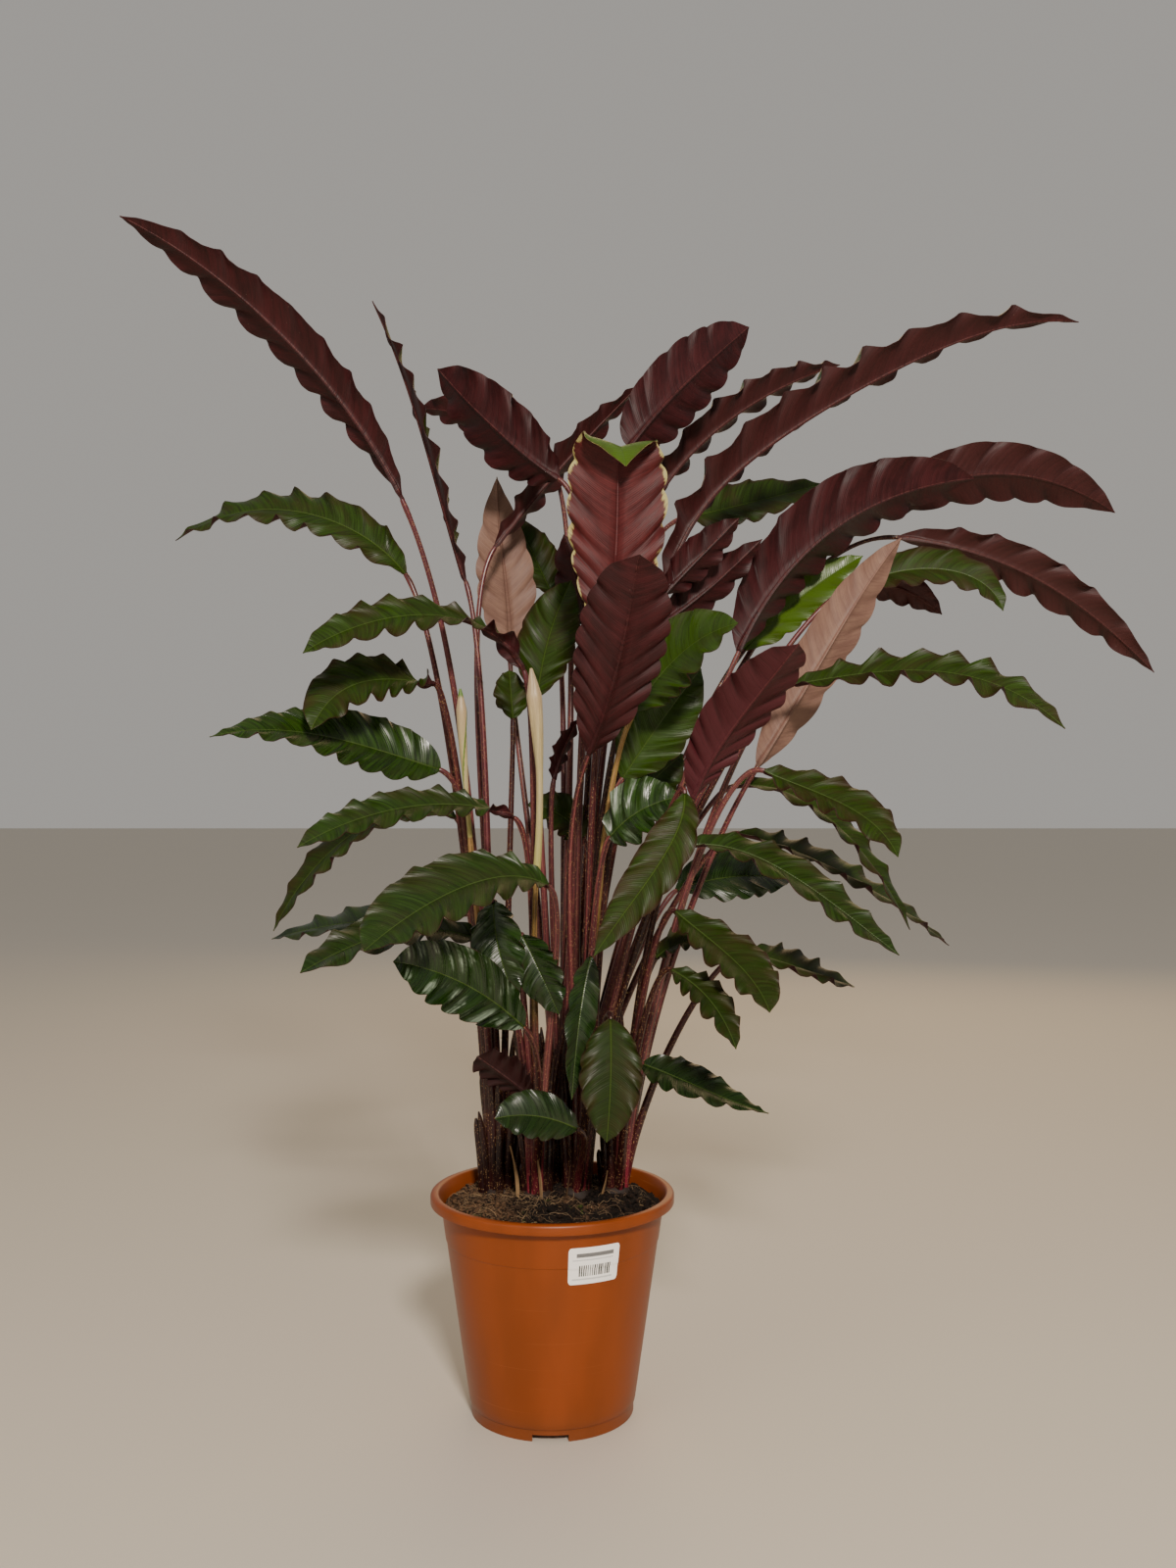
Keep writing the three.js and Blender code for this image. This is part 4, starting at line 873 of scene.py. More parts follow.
def leafGrid(leaf, chance):
    rib = leaf["rib"]
    length = ribLength(rib)
    waves = leaf.get("waves", round(leafShape["fewestWaves"] + length / leafShape["waveGap"]))
    strips = 2 * waves
    rows = strips * leafShape["rowsPerHalfWave"]
    basePower = leaf.get("basePower", leafShape["basePower"])
    tipPower = leaf.get("tipPower", leafShape["tipPower"])
    halfMax = leaf["width"] / 2
    edgeT = np.linspace(0, 1, rows + 1)
    lean = min(leafShape["veinLean"] * halfMax / length, leafShape["mostLean"])
    ribT = edgeT - lean * np.sin(math.pi * edgeT)
    uneven = leafShape["unevenness"]
    turns = [chance.uniform(0, 2 * math.pi) for _ in range(6)]

    def halfWidth(t):
        least = np.where(t < 0.5, 2.2 - 3.0 * t, 0.3)
        return np.maximum(halfMax * outline(t, basePower, tipPower), np.maximum(least, 0.3))

    ribR = leafShape["ribBase"] + (leafShape["ribTip"] - leafShape["ribBase"]) * edgeT ** 0.8
    ribR = np.minimum(ribR, 0.45 * halfWidth(edgeT))
    inner = [0.0, 0.5, 1.0, 1.6]
    count = leafShape["outerColumns"]
    outer = [1 - (1 - k / count) ** 1.15 for k in range(1, count + 1)]
    halfRow = halfWidth(edgeT)
    columns = [ribR * c / halfRow for c in inner]
    columns += [ribR * inner[-1] / halfRow + (1 - ribR * inner[-1] / halfRow) * o for o in outer]
    shares = np.array(columns)  # one line for each column, from the midrib to the margin
    sides = [(-1, k) for k in range(len(shares) - 1, 0, -1)] + [(1, k) for k in range(len(shares))]
    top = np.zeros((rows + 1, len(sides), 3))
    mapping = np.zeros_like(top)
    toning = np.zeros_like(top)
    for column, (side, k) in enumerate(sides):
        share = shares[k]
        t = ribT + (edgeT - ribT) * share ** leafShape["veinCurve"]
        centre = through(rib, t)
        along = tangents(rib, t)
        normal = facing(leaf["face"], t, along)
        across = np.cross(along, normal)
        turned = leaf.get("twist", 0) * np.exp(-(t / leafShape["twistReach"]) ** 2)[:, None]
        normal = normal * np.cos(turned) + across * np.sin(turned)
        across = np.cross(along, normal)
        drift = uneven * 1.6 * np.sin(2 * math.pi * 1.3 * edgeT + turns[0])
        apart = side * uneven * np.sin(2 * math.pi * 2.1 * edgeT + turns[1])
        phase = math.pi * (strips * edgeT - 1) + drift + apart
        wave = flute(phase)
        fade = np.clip(np.minimum(edgeT, 1 - edgeT) * leafShape["endFade"], 0, 1)
        size = leafShape["waveShare"] / 2 * leaf["width"] * leaf.get("wave", 1.0) * fade
        size = size * (1 + uneven * np.sin(2 * math.pi * 2.7 * edgeT + turns[2 + (side > 0)]))
        fold = leaf.get("fold", leafShape["foldDegrees"])
        baseFold = leaf.get("baseFold", leafShape["baseFold"]) * np.exp(-edgeT / leafShape["baseFoldReach"])
        fold = np.radians(fold + baseFold)
        half = halfWidth(t) * (1 - leafShape["scallop"] * (wave + 0.3) * fade * share ** 2)
        crinkle = leafShape["crinkle"] * size * np.sin(3.1 * phase + turns[4 + (side > 0)]) * share ** 5
        reach = leaf.get("waveReach", leafShape["waveReach"])
        rise = half * np.sin(fold) * (1.22 * share - 0.22 * share ** 3)
        lift = rise + size * wave * share ** reach + crinkle
        place = centre + across * (side * share * half * np.cos(fold))[:, None] + normal * lift[:, None]
        if k == 0:
            place = place - normal * (0.25 * ribR)[:, None]
        top[:, column] = place
        mapping[:, column] = np.stack([side * share * half, ribT * length, share], axis=1)
        toning[:, column] = np.stack([np.full(rows + 1, leaf["tone"]), wave, edgeT], axis=1)
    return top, mapping, toning, ribR


def leafPiece(name, leaf, chance):
    top, mapping, toning, ribR = leafGrid(leaf, chance)
    rows, columns = top.shape[:2]
    alongStep = np.gradient(top, axis=0)
    acrossStep = np.gradient(top, axis=1)
    up = unit(np.cross(alongStep, acrossStep))
    thick = np.full((rows, columns), leafShape["thick"])
    for column in range(columns):
        reach = np.abs(mapping[:, column, 0]) / ribR
        ribDepth = np.sqrt(np.clip(1 - (reach / leafShape["ribWidth"]) ** 2, 0, 1))
        thick[:, column] += ribR * ribDepth * leafShape["ribDepth"]
    sign = np.sign(np.sum(up[rows // 2, columns // 2] * facing(leaf["face"], np.array([0.5]),
                   tangents(leaf["rib"], np.array([0.5])))[0]))
    under = top - sign * up * thick[..., None]
    points = np.concatenate([top.reshape(-1, 3), under.reshape(-1, 3)])
    grid = np.arange(rows * columns).reshape(rows, columns)
    a, b = grid[:-1, :-1].ravel(), grid[:-1, 1:].ravel()
    c, d = grid[1:, 1:].ravel(), grid[1:, :-1].ravel()
    upper = np.stack([a, b, c, d] if sign < 0 else [a, d, c, b], axis=1)
    low = rows * columns
    lower = upper[:, ::-1] + low
    rimLoop = np.concatenate([grid[0, :], grid[1:, -1], grid[-1, -2::-1], grid[-2:0:-1, 0]])
    after = np.roll(rimLoop, -1)
    rim = np.stack([after, rimLoop, rimLoop + low, after + low], axis=1)
    if sign > 0:
        rim = rim[:, ::-1]
    faces = np.concatenate([upper, lower, rim])
    slots = np.concatenate([np.zeros(len(upper)), np.ones(len(lower)), np.ones(len(rim))])
    underside = "purple" if leaf["side"] == "green" else leaf["side"]
    maps = {"bladeMap": np.concatenate([mapping.reshape(-1, 3)] * 2),
            "bladeTone": np.concatenate([toning.reshape(-1, 3)] * 2)}
    return meshPiece(name, points, faces, [finish["upper"], finish[underside]], maps, slots,
                     leafShape["crease"])


def settleLeaf(name, leaf, *nodes):
    leaf.setdefault("tone", chance.uniform(0.1, 0.75))
    piece = settle(leafPiece(name, leaf, chance), "leaf_" + leaf["side"], *nodes)
    return sum(len(p.vertices) - 2 for p in piece.data.polygons)


chance = random.Random(8328)
triangles = 0
for crown, leaves in leafTable.items():
    for number, leaf in enumerate(leaves, 1):
        triangles += settleLeaf(f"leaf_{crown}_{number}", leaf, f"blade_{crown}_{number}")
for crown, leaves in smallTable.items():
    for number, leaf in enumerate(leaves, 1):
        triangles += settleLeaf(f"smallLeaf_{crown}_{number}", leaf, "stalks_" + crown)
print("leaves made, with triangles:", triangles)

# Stalks, each with its hairs, standing in the soil

pot = {
    "height": 170, "rimRadius": 95, "rimHeight": 8, "rimEdge": 2.2, "neckRadius": 86.5, "baseRadius": 64.5,
    "wall": 1.8, "floor": 7, "footHeight": 9, "footInset": 1.2, "padRadius": 24, "ledge": 134,
    "ledgeStep": 0.5,
    "notches": 3, "notchWidth": 27, "drains": 6, "drainRadius": 5, "drainRing": 44, "sides": 160,
}
soil = {"edge": 159, "mound": 7, "bump": 2.3, "rings": 84, "sides": 168, "crumbs": 1100, "fibres": 460}
crowns = {"left": (-42, 20), "front": (-12, 4), "middle": (19, 8), "right": (49, 20), "back": (8, 54)}
stalk = {
    "crownRadius": 13.2, "crownUp": 4, "spread": 7.6, "root": 3.7, "top": 1.8, "rings": 46, "sides": 12,
    "groove": 0.16, "grooveWidth": 0.45, "kneeLength": 16, "knee": 0.22, "oldBases": 18,
    "hairs": 420, "hairedLength": 450, "hairLength": 1.7, "hairRadius": 0.11,
    # the old tones are the dark end of the stalk colours, partly painted shade in the core of the clump
    "tones": [0.15, 0.3, 0.4, 0.48, 0.58, 0.66, 0.74], "oldShadeTones": [0.05, 0.15, 0.25, 0.35, 0.45],
}
# how far what is left of old stalks spreads from a crown, and how much lower the outer ones are; these dark
# stubs also stand in as painted shade in the core of the clump
oldSpread = {"left": (12, 80), "front": (8, 118), "middle": (8, 118), "right": (8, 118), "back": (24, 45)}


def wallRadius(z):
    share = (z - pot["footHeight"]) / (pot["height"] - pot["rimHeight"] - pot["footHeight"])
    step = pot["ledgeStep"] if z > pot["ledge"] else 0
    return pot["baseRadius"] + (pot["neckRadius"] - pot["baseRadius"]) * share + step


soilRadius = wallRadius(soil["edge"]) - pot["wall"] - 0.3


def soilTop(x, y):
    share = math.hypot(x, y) / soilRadius
    bumps = math.sin(x / 9 + 1.3 * math.sin(y / 13)) * math.cos(y / 8 - x / 21)
    return soil["edge"] + soil["mound"] * (1 - share ** 2) + soil["bump"] * bumps * (1 - share ** 6)


def stalkLine(crown, leaf):
    # the four places that steer a stalk from its crown to the base of its leaf
    x, y = crowns[crown]
    base = np.array(leaf["rib"][0], float)
    along = tangents(leaf["rib"], np.array([0.0]))[0]
    away = unit(np.array([base[0] - x, base[1] - y, 0.0]))
    root = np.array([x, y, soilTop(x, y) + stalk["crownUp"] - 3]) + away * stalk["spread"]
    end = base + along * 0.8
    rise = base - along * 0.3 - root
    first = root + rise * np.array([0.12, 0.12, 0.42])
    return np.array([root, first, base - along * (0.3 + leaf["neck"]), end])


def bezier(line, t):
    t = t[:, None]
    return ((1 - t) ** 3 * line[0] + 3 * (1 - t) ** 2 * t * line[1] + 3 * (1 - t) * t ** 2 * line[2]
            + t ** 3 * line[3])


def frames(places):
    # directions along, across and square to a curve, without twist
    along = unit(np.gradient(places, axis=0))
    across = np.zeros_like(places)
    start = np.array([1.0, 0, 0]) if abs(along[0][0]) < 0.9 else np.array([0, 1.0, 0])
    across[0] = unit(start - along[0] * start.dot(along[0]))
    for i in range(1, len(places)):
        across[i] = unit(across[i - 1] - along[i] * across[i - 1].dot(along[i]))
    return along, across, np.cross(along, across)


def ringFaces(grid):
    # the four-sided faces between rings, from a grid of point numbers
    after = np.roll(grid, -1, axis=1)
    quads = [grid[:-1].ravel(), after[:-1].ravel(), after[1:].ravel(), grid[1:].ravel()]
    return [list(face) for face in np.stack(quads, axis=1)]


def tube(places, radii, sides, shape=None):
    # closed tube round a curve: points, faces, and the turn of each point in its ring
    _, across, other = frames(places)
    turn = np.linspace(0, 2 * math.pi, sides, endpoint=False)
    reach = radii[:, None] * (np.ones((1, sides)) if shape is None else shape(turn))
    ring = (places[:, None] + across[:, None] * (np.cos(turn) * reach)[..., None]
            + other[:, None] * (np.sin(turn) * reach)[..., None])
    rings = len(places)
    grid = np.arange(rings * sides).reshape(rings, sides)
    faces = ringFaces(grid) + [list(grid[0][::-1]), list(grid[-1])]
    return ring.reshape(-1, 3), faces, np.tile(turn, rings)


def join(parts):
    # several sets of points and faces as one, with their maps and material numbers
    points, faces, slots, first, second = [], [], [], [], []
    start = 0
    for part in parts:
        points.append(part["points"])
        faces += [[v + start for v in f] for f in part["faces"]]
        slots += [part.get("slot", 0)] * len(part["faces"])
        first.append(part["map"])
        second.append(part["tone"])
        start += len(part["points"])
    maps = {"stalkMap": np.concatenate(first), "stalkTone": np.concatenate(second)}
    return np.concatenate(points), faces, maps, slots


def stalkParts(crown, leaf, chance):
    line = stalkLine(crown, leaf)
    t = 1 - (1 - np.linspace(0, 1, stalk["rings"])) ** 1.25
    places = bezier(line, t)
    steps = np.linalg.norm(np.diff(places, axis=0), axis=1)
    length = np.concatenate([[0], np.cumsum(steps)])
    toTop = length[-1] - length
    root = stalk["root"] * min(1.0, 0.7 + leaf.get("width", 40) / 160)
    radii = root + (stalk["top"] - root) * t
    radii = radii * (1 + stalk["knee"] * np.exp(-((toTop - 8) / (stalk["kneeLength"] / 2)) ** 2))
    radii = np.where(toTop < 1.0, radii * 0.92, radii)

    def section(turn):
        offGroove = np.mod(turn + 0.5, 2 * math.pi) - math.pi
        return 1 - stalk["groove"] * np.exp(-(offGroove / stalk["grooveWidth"]) ** 2)[None, :]

    points, faces, turn = tube(places, radii, stalk["sides"], section)
    perRing = stalk["sides"]
    tone = chance.random()
    kind = leaf.get("stalk", chance.choice(stalk["tones"]))
    along = np.repeat(length, perRing)
    share = along / length[-1]
    kinds = kind + (0.3 - kind) * np.clip(1.6 - 2.6 * share, 0, 1) * (kind > 0.85)
    body = {"points": points, "faces": faces, "slot": 0,
            "map": np.stack([turn, along, share], axis=1),
            "tone": np.stack([np.full(len(points), tone), kinds, np.ones(len(points))], axis=1)}
    return [body, hairParts(places, radii, length, chance, kind)]


def hairParts(places, radii, length, chance, kind):
    # bristles: slim three-sided points that stand on the stalk
    along, across, other = frames(places)
    count = int(stalk["hairs"] * length[-1] / stalk["hairedLength"])
    points, faces, tones = [], [], []
    for _ in range(count):
        at = chance.random() * length[-1] * 0.985
        k = min(int(np.searchsorted(length, at)) or 1, len(length) - 1)
        share = (at - length[k - 1]) / max(length[k] - length[k - 1], 1e-9)
        centre = places[k - 1] * (1 - share) + places[k] * share
        radius = radii[k - 1] * (1 - share) + radii[k] * share
        turn = chance.uniform(0, 2 * math.pi)
        out = across[k] * math.cos(turn) + other[k] * math.sin(turn)
        lean = out + along[k] * chance.uniform(-0.15, 0.5)
        lean = lean + np.cross(along[k], out) * chance.uniform(-0.3, 0.3)
        lean = lean / np.linalg.norm(lean)
        foot = centre + out * (radius * 0.86)
        size = stalk["hairRadius"] * chance.uniform(0.7, 1.3)
        sideA = unit(np.cross(lean, along[k]))
        sideB = np.cross(lean, sideA)
        tall = stalk["hairLength"] * chance.uniform(0.5, 1.25) + radius * 0.14
        start = len(points)
        for third in range(3):
            angle = third * 2 * math.pi / 3
            points.append(foot + sideA * size * math.cos(angle) + sideB * size * math.sin(angle))
        points.append(foot + lean * tall)
        corners = [(0, 2, 1), (0, 1, 3), (1, 2, 3), (2, 0, 3)]
        faces += [[start + corner for corner in triangle] for triangle in corners]
        tones += [[chance.random(), kind, 0.0]] * 4
    return {"points": np.array(points), "faces": faces, "slot": 1, "map": np.zeros((len(points), 3)),
            "tone": np.array(tones)}


def crownParts(crown):
    # the stub that the stalks of a crown grow from: a low knob of old leaf bases
    x, y = crowns[crown]
    top = soilTop(x, y) + stalk["crownUp"]
    heights = [-30, -20, -8, -3, 0, 1.4, 2.0]
    radii = np.array([0.97, 0.97, 0.97, 0.95, 0.8, 0.45, 0.1]) * stalk["crownRadius"]
    places = np.array([[x, y, top + h] for h in heights], float)
    points, faces, turn = tube(places, radii, 24, lambda turn: 1 + 0.05 * np.sin(5 * turn + x)[None, :])
    return {"points": points, "faces": faces, "slot": 2,
            "map": np.stack([turn, np.repeat(heights, 24), np.zeros(len(points))], axis=1),
            "tone": np.tile([0.3, 0.2, 1.0], (len(points), 1))}


def oldBaseParts(crown, chance):
    # what is left of old stalks: short dark stubs that crowd round the crown, set there also as painted
    # shade to fill the shaded core of the clump
    x, y = crowns[crown]
    parts = []
    reach, drop = oldSpread[crown]
    for number in range(stalk["oldBases"]):
        turn = 2.4 * number + chance.uniform(-0.3, 0.3)
        out = np.array([math.cos(turn), math.sin(turn), 0.0])
        share = (number + 0.5) / stalk["oldBases"]
        away = 1.5 + reach * share ** 0.7
        root = np.array([x, y, soilTop(x, y) - 3]) + out * away
        tall = (150 - drop * share) * chance.uniform(0.65, 1.1)
        lean = out * chance.uniform(0.02, 0.16) * tall
        t = np.linspace(0, 1, 14)
        places = root + lean * (t ** 1.6)[:, None] + np.array([0, 0, tall]) * t[:, None]
        radii = chance.uniform(3.0, 4.3) * (1 - 0.25 * t - 0.55 * t ** 12)
        points, faces, around = tube(places, radii, 10,
                                     lambda turn: (1 - 0.3 * np.abs(np.sin(turn)))[None, :])
        length = np.repeat(t * tall, 10)
        parts.append({"points": points, "faces": faces, "slot": 0,
                      "map": np.stack([around, 30 + length, length / tall], axis=1),
                      "tone": np.tile([chance.random(), chance.choice(stalk["oldShadeTones"]), 1.0],
                                      (len(points), 1))})
    return parts


for crown, leaves in leafTable.items():
    parts = [crownParts(crown)] + oldBaseParts(crown, chance)
    rolled = [leaf for leaf in rolledTable.values() if leaf["crown"] == crown]
    for leaf in leaves + smallTable[crown] + rolled:
        parts += stalkParts(crown, leaf, chance)
    points, faces, maps, slots = join(parts)
    piece = meshPiece("stalks" + crown.capitalize(), points, faces,
                      [finish["stalk"], finish["hair"], finish["crown"]], maps, slots)
    settle(piece, "leaf_stalk", "stalks_" + crown)
    print("stalks made:", crown, "with triangles:", sum(len(p.vertices) - 2 for p in piece.data.polygons))

# Young leaves that are still rolled up

rolledShape = {
    "rings": 60, "sides": 36, "overlap": 0.2, "turns": 0.75, "neckShare": 0.45, "fullFrom": 0.86,
    "leastRadius": 0.35, "edgeWidth": 0.14, "greenFrom": 0.9, "greenFade": 0.08,
}


def rolledPiece(name, leaf):
    t = np.linspace(0, 1, rolledShape["rings"])
    places = through(leaf["rib"], t)
    least = rolledShape["neckShare"]
    filled = np.clip((t - leaf["neckEnd"]) / (rolledShape["fullFrom"] - leaf["neckEnd"]), 0, 1)
    share = least + (1 - least) * filled ** 1.3
    radii = leaf["radius"] * share * np.clip((1.02 - t) * 6, 0.05, 1) ** 0.8
    radii = np.maximum(radii * (1 + 0.05 * np.sin(9 * t + 2)), rolledShape["leastRadius"])
    sides = rolledShape["sides"]
    points, faces, turn = tube(places, radii, sides)
    turn = turn.reshape(len(t), sides)
    seam = 2 * math.pi * rolledShape["turns"] * t[:, None] + leaf["seam"]
    around = np.mod(turn - seam, 2 * math.pi) / (2 * math.pi)
    grow = 1 - rolledShape["overlap"] * (1 - around) ** 1.5
    points = points.reshape(len(t), sides, 3)
    points = places[:, None] + (points - places[:, None]) * grow[..., None]
    atSeam = np.clip((around - 1 + rolledShape["edgeWidth"]) / rolledShape["edgeWidth"], 0, 1)
    atTip = np.clip((t[:, None] - rolledShape["greenFrom"]) / rolledShape["greenFade"], 0, 1)
    greenEdge = np.maximum(atSeam * leaf["green"], atTip * leaf["green"])
    length = t * np.linalg.norm(np.diff(places, axis=0), axis=1).sum()
    maps = {"stalkMap": np.stack([turn.ravel(), np.repeat(length, sides), np.repeat(t, sides)], axis=1),
            "stalkTone": np.stack([np.full(turn.size, 0.5), greenEdge.ravel(), np.ones(turn.size)],
                                  axis=1)}
    return meshPiece(name, points.reshape(-1, 3), faces, [finish["rolled"]], maps)


for name, leaf in rolledTable.items():
    settle(rolledPiece("rolledLeaf" + name.capitalize(), leaf), "leaf_rolled", "rolled_" + name)
print("rolled leaves made:", len(rolledTable))

# Pot and label

def latheRings(profile, sides):
    turn = np.linspace(0, 2 * math.pi, sides, endpoint=False) + math.pi / sides
    radius, height = np.array(profile, float).T
    ring = np.stack([radius[:, None] * np.cos(turn), radius[:, None] * np.sin(turn),
                     np.repeat(height[:, None], sides, axis=1)], axis=2)
    return ring.reshape(-1, 3), np.arange(ring.shape[0] * sides).reshape(-1, sides)


def fan(centre, ring, under=False):
    # the triangles that close a ring round a centre point
    pairs = zip(ring, np.roll(ring, -1))
    return [[centre, b, a] if under else [centre, a, b] for a, b in pairs]


def arc(centre, radius, start, stop, steps):
    # points on a rounded corner, angles in degrees
    angles = np.radians(np.linspace(start, stop, steps))
    return [(centre[0] + radius * math.cos(a), centre[1] + radius * math.sin(a)) for a in angles]


def innerRadius(z):
    return wallRadius(z) - pot["wall"]


def potProfile():
    lip = pot["height"] - pot["rimHeight"]
    foot = pot["baseRadius"] - pot["footInset"]
    under = pot["floor"] - pot["wall"]
    ledge = pot["ledge"]
    rim = pot["rimRadius"]
    pad = pot["padRadius"]
    base = pot["baseRadius"]
    step = pot["footHeight"]
    outside = [(0.0, 0), (12.0, 0), (pad - 1, 0), (pad, 0.3), (pad + 4.4, under - 0.3), (pad + 5.5, under)]
    outside += [(foot - 4.6, under), (foot - 4, under - 0.5), (foot - 2.1, 0.4), (foot - 1.7, 0),
                (foot - 0.5, 0), (foot, 0.5), (foot, step - 0.5), (foot + 0.2, step),
                (base - 0.4, step + 0.2), (base, step + 0.8)]
    heights = np.linspace(step + 6, ledge - 1.5, 14)
    outside += [(wallRadius(z), z) for z in heights]
    outside += [(wallRadius(ledge), ledge - 0.1), (wallRadius(ledge) + 0.08, ledge + 0.25),
                (wallRadius(ledge + 0.7), ledge + 0.7), (wallRadius(ledge + 1.4), ledge + 1.4)]
    outside += [(wallRadius(z), z) for z in (ledge + 8, ledge + 16, lip - 3)]
    outside += arc((wallRadius(lip - 1) + 1.6, lip - 1.6), 1.6, 180, 90, 4)
    outside += [(rim - pot["rimEdge"] - 0.2, lip + 0.5), (rim - pot["rimEdge"], lip + 0.3),
                (rim - pot["rimEdge"] + 0.3, lip)]
    outside += arc((rim - 0.6, lip + 0.6), 0.6, -90, 0, 3)
    outside += [(rim, lip + 3)]
    outside += arc((rim - 2.6, pot["height"] - 2.6), 2.6, 0, 90, 7)
    inside = arc((rim - 4.6, pot["height"] - 2.2), 2.2, 90, 165, 5)
    inside += [(innerRadius(pot["height"] - 7), pot["height"] - 7), (innerRadius(ledge + 1.4), ledge + 1.4),
               (innerRadius(ledge), ledge - 0.2), (innerRadius(60), 60),
               (innerRadius(pot["floor"] + 3), pot["floor"] + 3),
               (innerRadius(pot["floor"]) - 3, pot["floor"]), (pad + 4, pot["floor"]),
               (pad - 1, pot["wall"]), (0.0, pot["wall"])]
    return outside + inside


def cutAway(piece, cutters):
    # takes the cutters out of a piece and leaves a plain mesh
    for cutter in cutters:
        change = piece.modifiers.new("cut", "BOOLEAN")
        change.operation = "DIFFERENCE"
        change.solver = "EXACT"
        change.object = cutter
    bpy.context.view_layer.update()
    cut = piece.evaluated_get(bpy.context.evaluated_depsgraph_get())
    plain = bpy.data.meshes.new_from_object(cut)
    piece.modifiers.clear()
    piece.data = plain
    for cutter in cutters:
        bpy.data.objects.remove(cutter)


def potPiece():
    profile = potProfile()
    points, grid = latheRings(profile[1:-1], pot["sides"])
    bottom = len(points)
    faces = ringFaces(grid) + fan(bottom, grid[0], under=True) + fan(bottom + 1, grid[-1])
    points = np.concatenate([points, [[0, 0, profile[0][1]], [0, 0, profile[-1][1]]]])
    piece = meshPiece("nurseryPot", points, faces, [finish["pot"]], crease=None)
    foot = pot["baseRadius"] - pot["footInset"]
    tall = 2 * (pot["floor"] - pot["wall"])
    cutters = []
    for i in range(pot["notches"]):
        turn = 2 * math.pi * i / pot["notches"] - math.pi / 2
        cutters.append(blockPiece("notch", (20, pot["notchWidth"], tall), (foot, 0, 0), turn))
    for i in range(pot["drains"]):
        turn = 2 * math.pi * (i + 0.5) / pot["drains"]
        centre = pot["drainRing"] * np.array([math.cos(turn), math.sin(turn)])
        ends = (pot["floor"] - 10, pot["floor"] + 10)
        places = np.array([[centre[0], centre[1], z] for z in ends], float)
        points, faces, _ = tube(places, np.full(2, float(pot["drainRadius"])), 32)
        cutters.append(meshPiece("drain", points, faces, [], crease=None))
    cutAway(piece, cutters)
    piece.data.polygons.foreach_set("use_smooth", np.ones(len(piece.data.polygons), bool))
    piece.data.set_sharp_from_angle(angle=math.radians(38))
    return piece


def blockPiece(name, size, centre, turn):
    halves = (-0.5, 0.5)
    corners = np.array([[x, y, z] for x in halves for y in halves for z in halves]) * size + centre
    spin = np.array([[math.cos(turn), -math.sin(turn), 0], [math.sin(turn), math.cos(turn), 0], [0, 0, 1]])
    faces = [(0, 1, 3, 2), (4, 6, 7, 5), (0, 4, 5, 1), (2, 3, 7, 6), (0, 2, 6, 4), (1, 5, 7, 3)]
    return meshPiece(name, corners @ spin.T, faces, [], crease=None)


label = {"width": 40, "height": 28, "thick": 0.22, "corner": 2.5, "z": 136, "turn": 23, "off": 0.12,
         "columns": 48, "rows": 30}


def labelPiece():
    # a sheet that follows the wall, with round corners
    u = np.linspace(-1, 1, label["columns"] + 1)
    halfW, halfH, corner = label["width"] / 2, label["height"] / 2, label["corner"]
    past = np.maximum(0, np.abs(u) * halfW - (halfW - corner))
    cut = corner - np.sqrt(np.maximum(corner ** 2 - past ** 2, 0))
    v = np.linspace(-1, 1, label["rows"] + 1)
    x = (u * halfW)[:, None] * np.ones(len(v))
    up = v[None, :] * (halfH - cut)[:, None]
    angle = math.radians(label["turn"] - 90) + x / wallRadius(label["z"])
    radius = np.vectorize(wallRadius)(label["z"] + up) + label["off"]
    both = []
    for out in (0.0, label["thick"]):
        reach = radius + out
        both.append(np.stack([reach * np.cos(angle), reach * np.sin(angle), label["z"] + up], axis=2))
    points = np.concatenate([b.reshape(-1, 3) for b in both])
    rows, columns = x.shape
    grid = np.arange(rows * columns).reshape(rows, columns)
    a, b, c, d = grid[:-1, :-1].ravel(), grid[1:, :-1].ravel(), grid[1:, 1:].ravel(), grid[:-1, 1:].ravel()
    outer = np.stack([a, b, c, d], axis=1) + rows * columns
    inner = np.stack([d, c, b, a], axis=1)
    loop = np.concatenate([grid[:, 0], grid[-1, 1:], grid[-2::-1, -1], grid[0, -2:0:-1]])
    after = np.roll(loop, -1)
    rim = np.stack([loop, after, after + rows * columns, loop + rows * columns], axis=1)
    flat = np.stack([x.ravel(), up.ravel(), np.zeros(x.size)], axis=1)
    return meshPiece("paperLabel", points, np.concatenate([inner, outer, rim]), [finish["paper"]],
                     {"labelMap": np.concatenate([flat, flat])})


settle(potPiece(), "pot_plastic", "pot")
settle(labelPiece(), "label_paper", "label")
print("pot and label made")


# Soil, with its crumbs, roots and old sheaths

def lumpy(x, y, z, size):
    return noise.noise(Vector((x, y, z)) / size)


def soilHeight(x, y):
    rough = 2.8 * lumpy(x, y, 3.0, 13.0) + 2.2 * lumpy(x, y, 9.0, 5.0) + 1.2 * lumpy(x, y, 21.0, 2.2)
    return soilTop(x, y) + rough


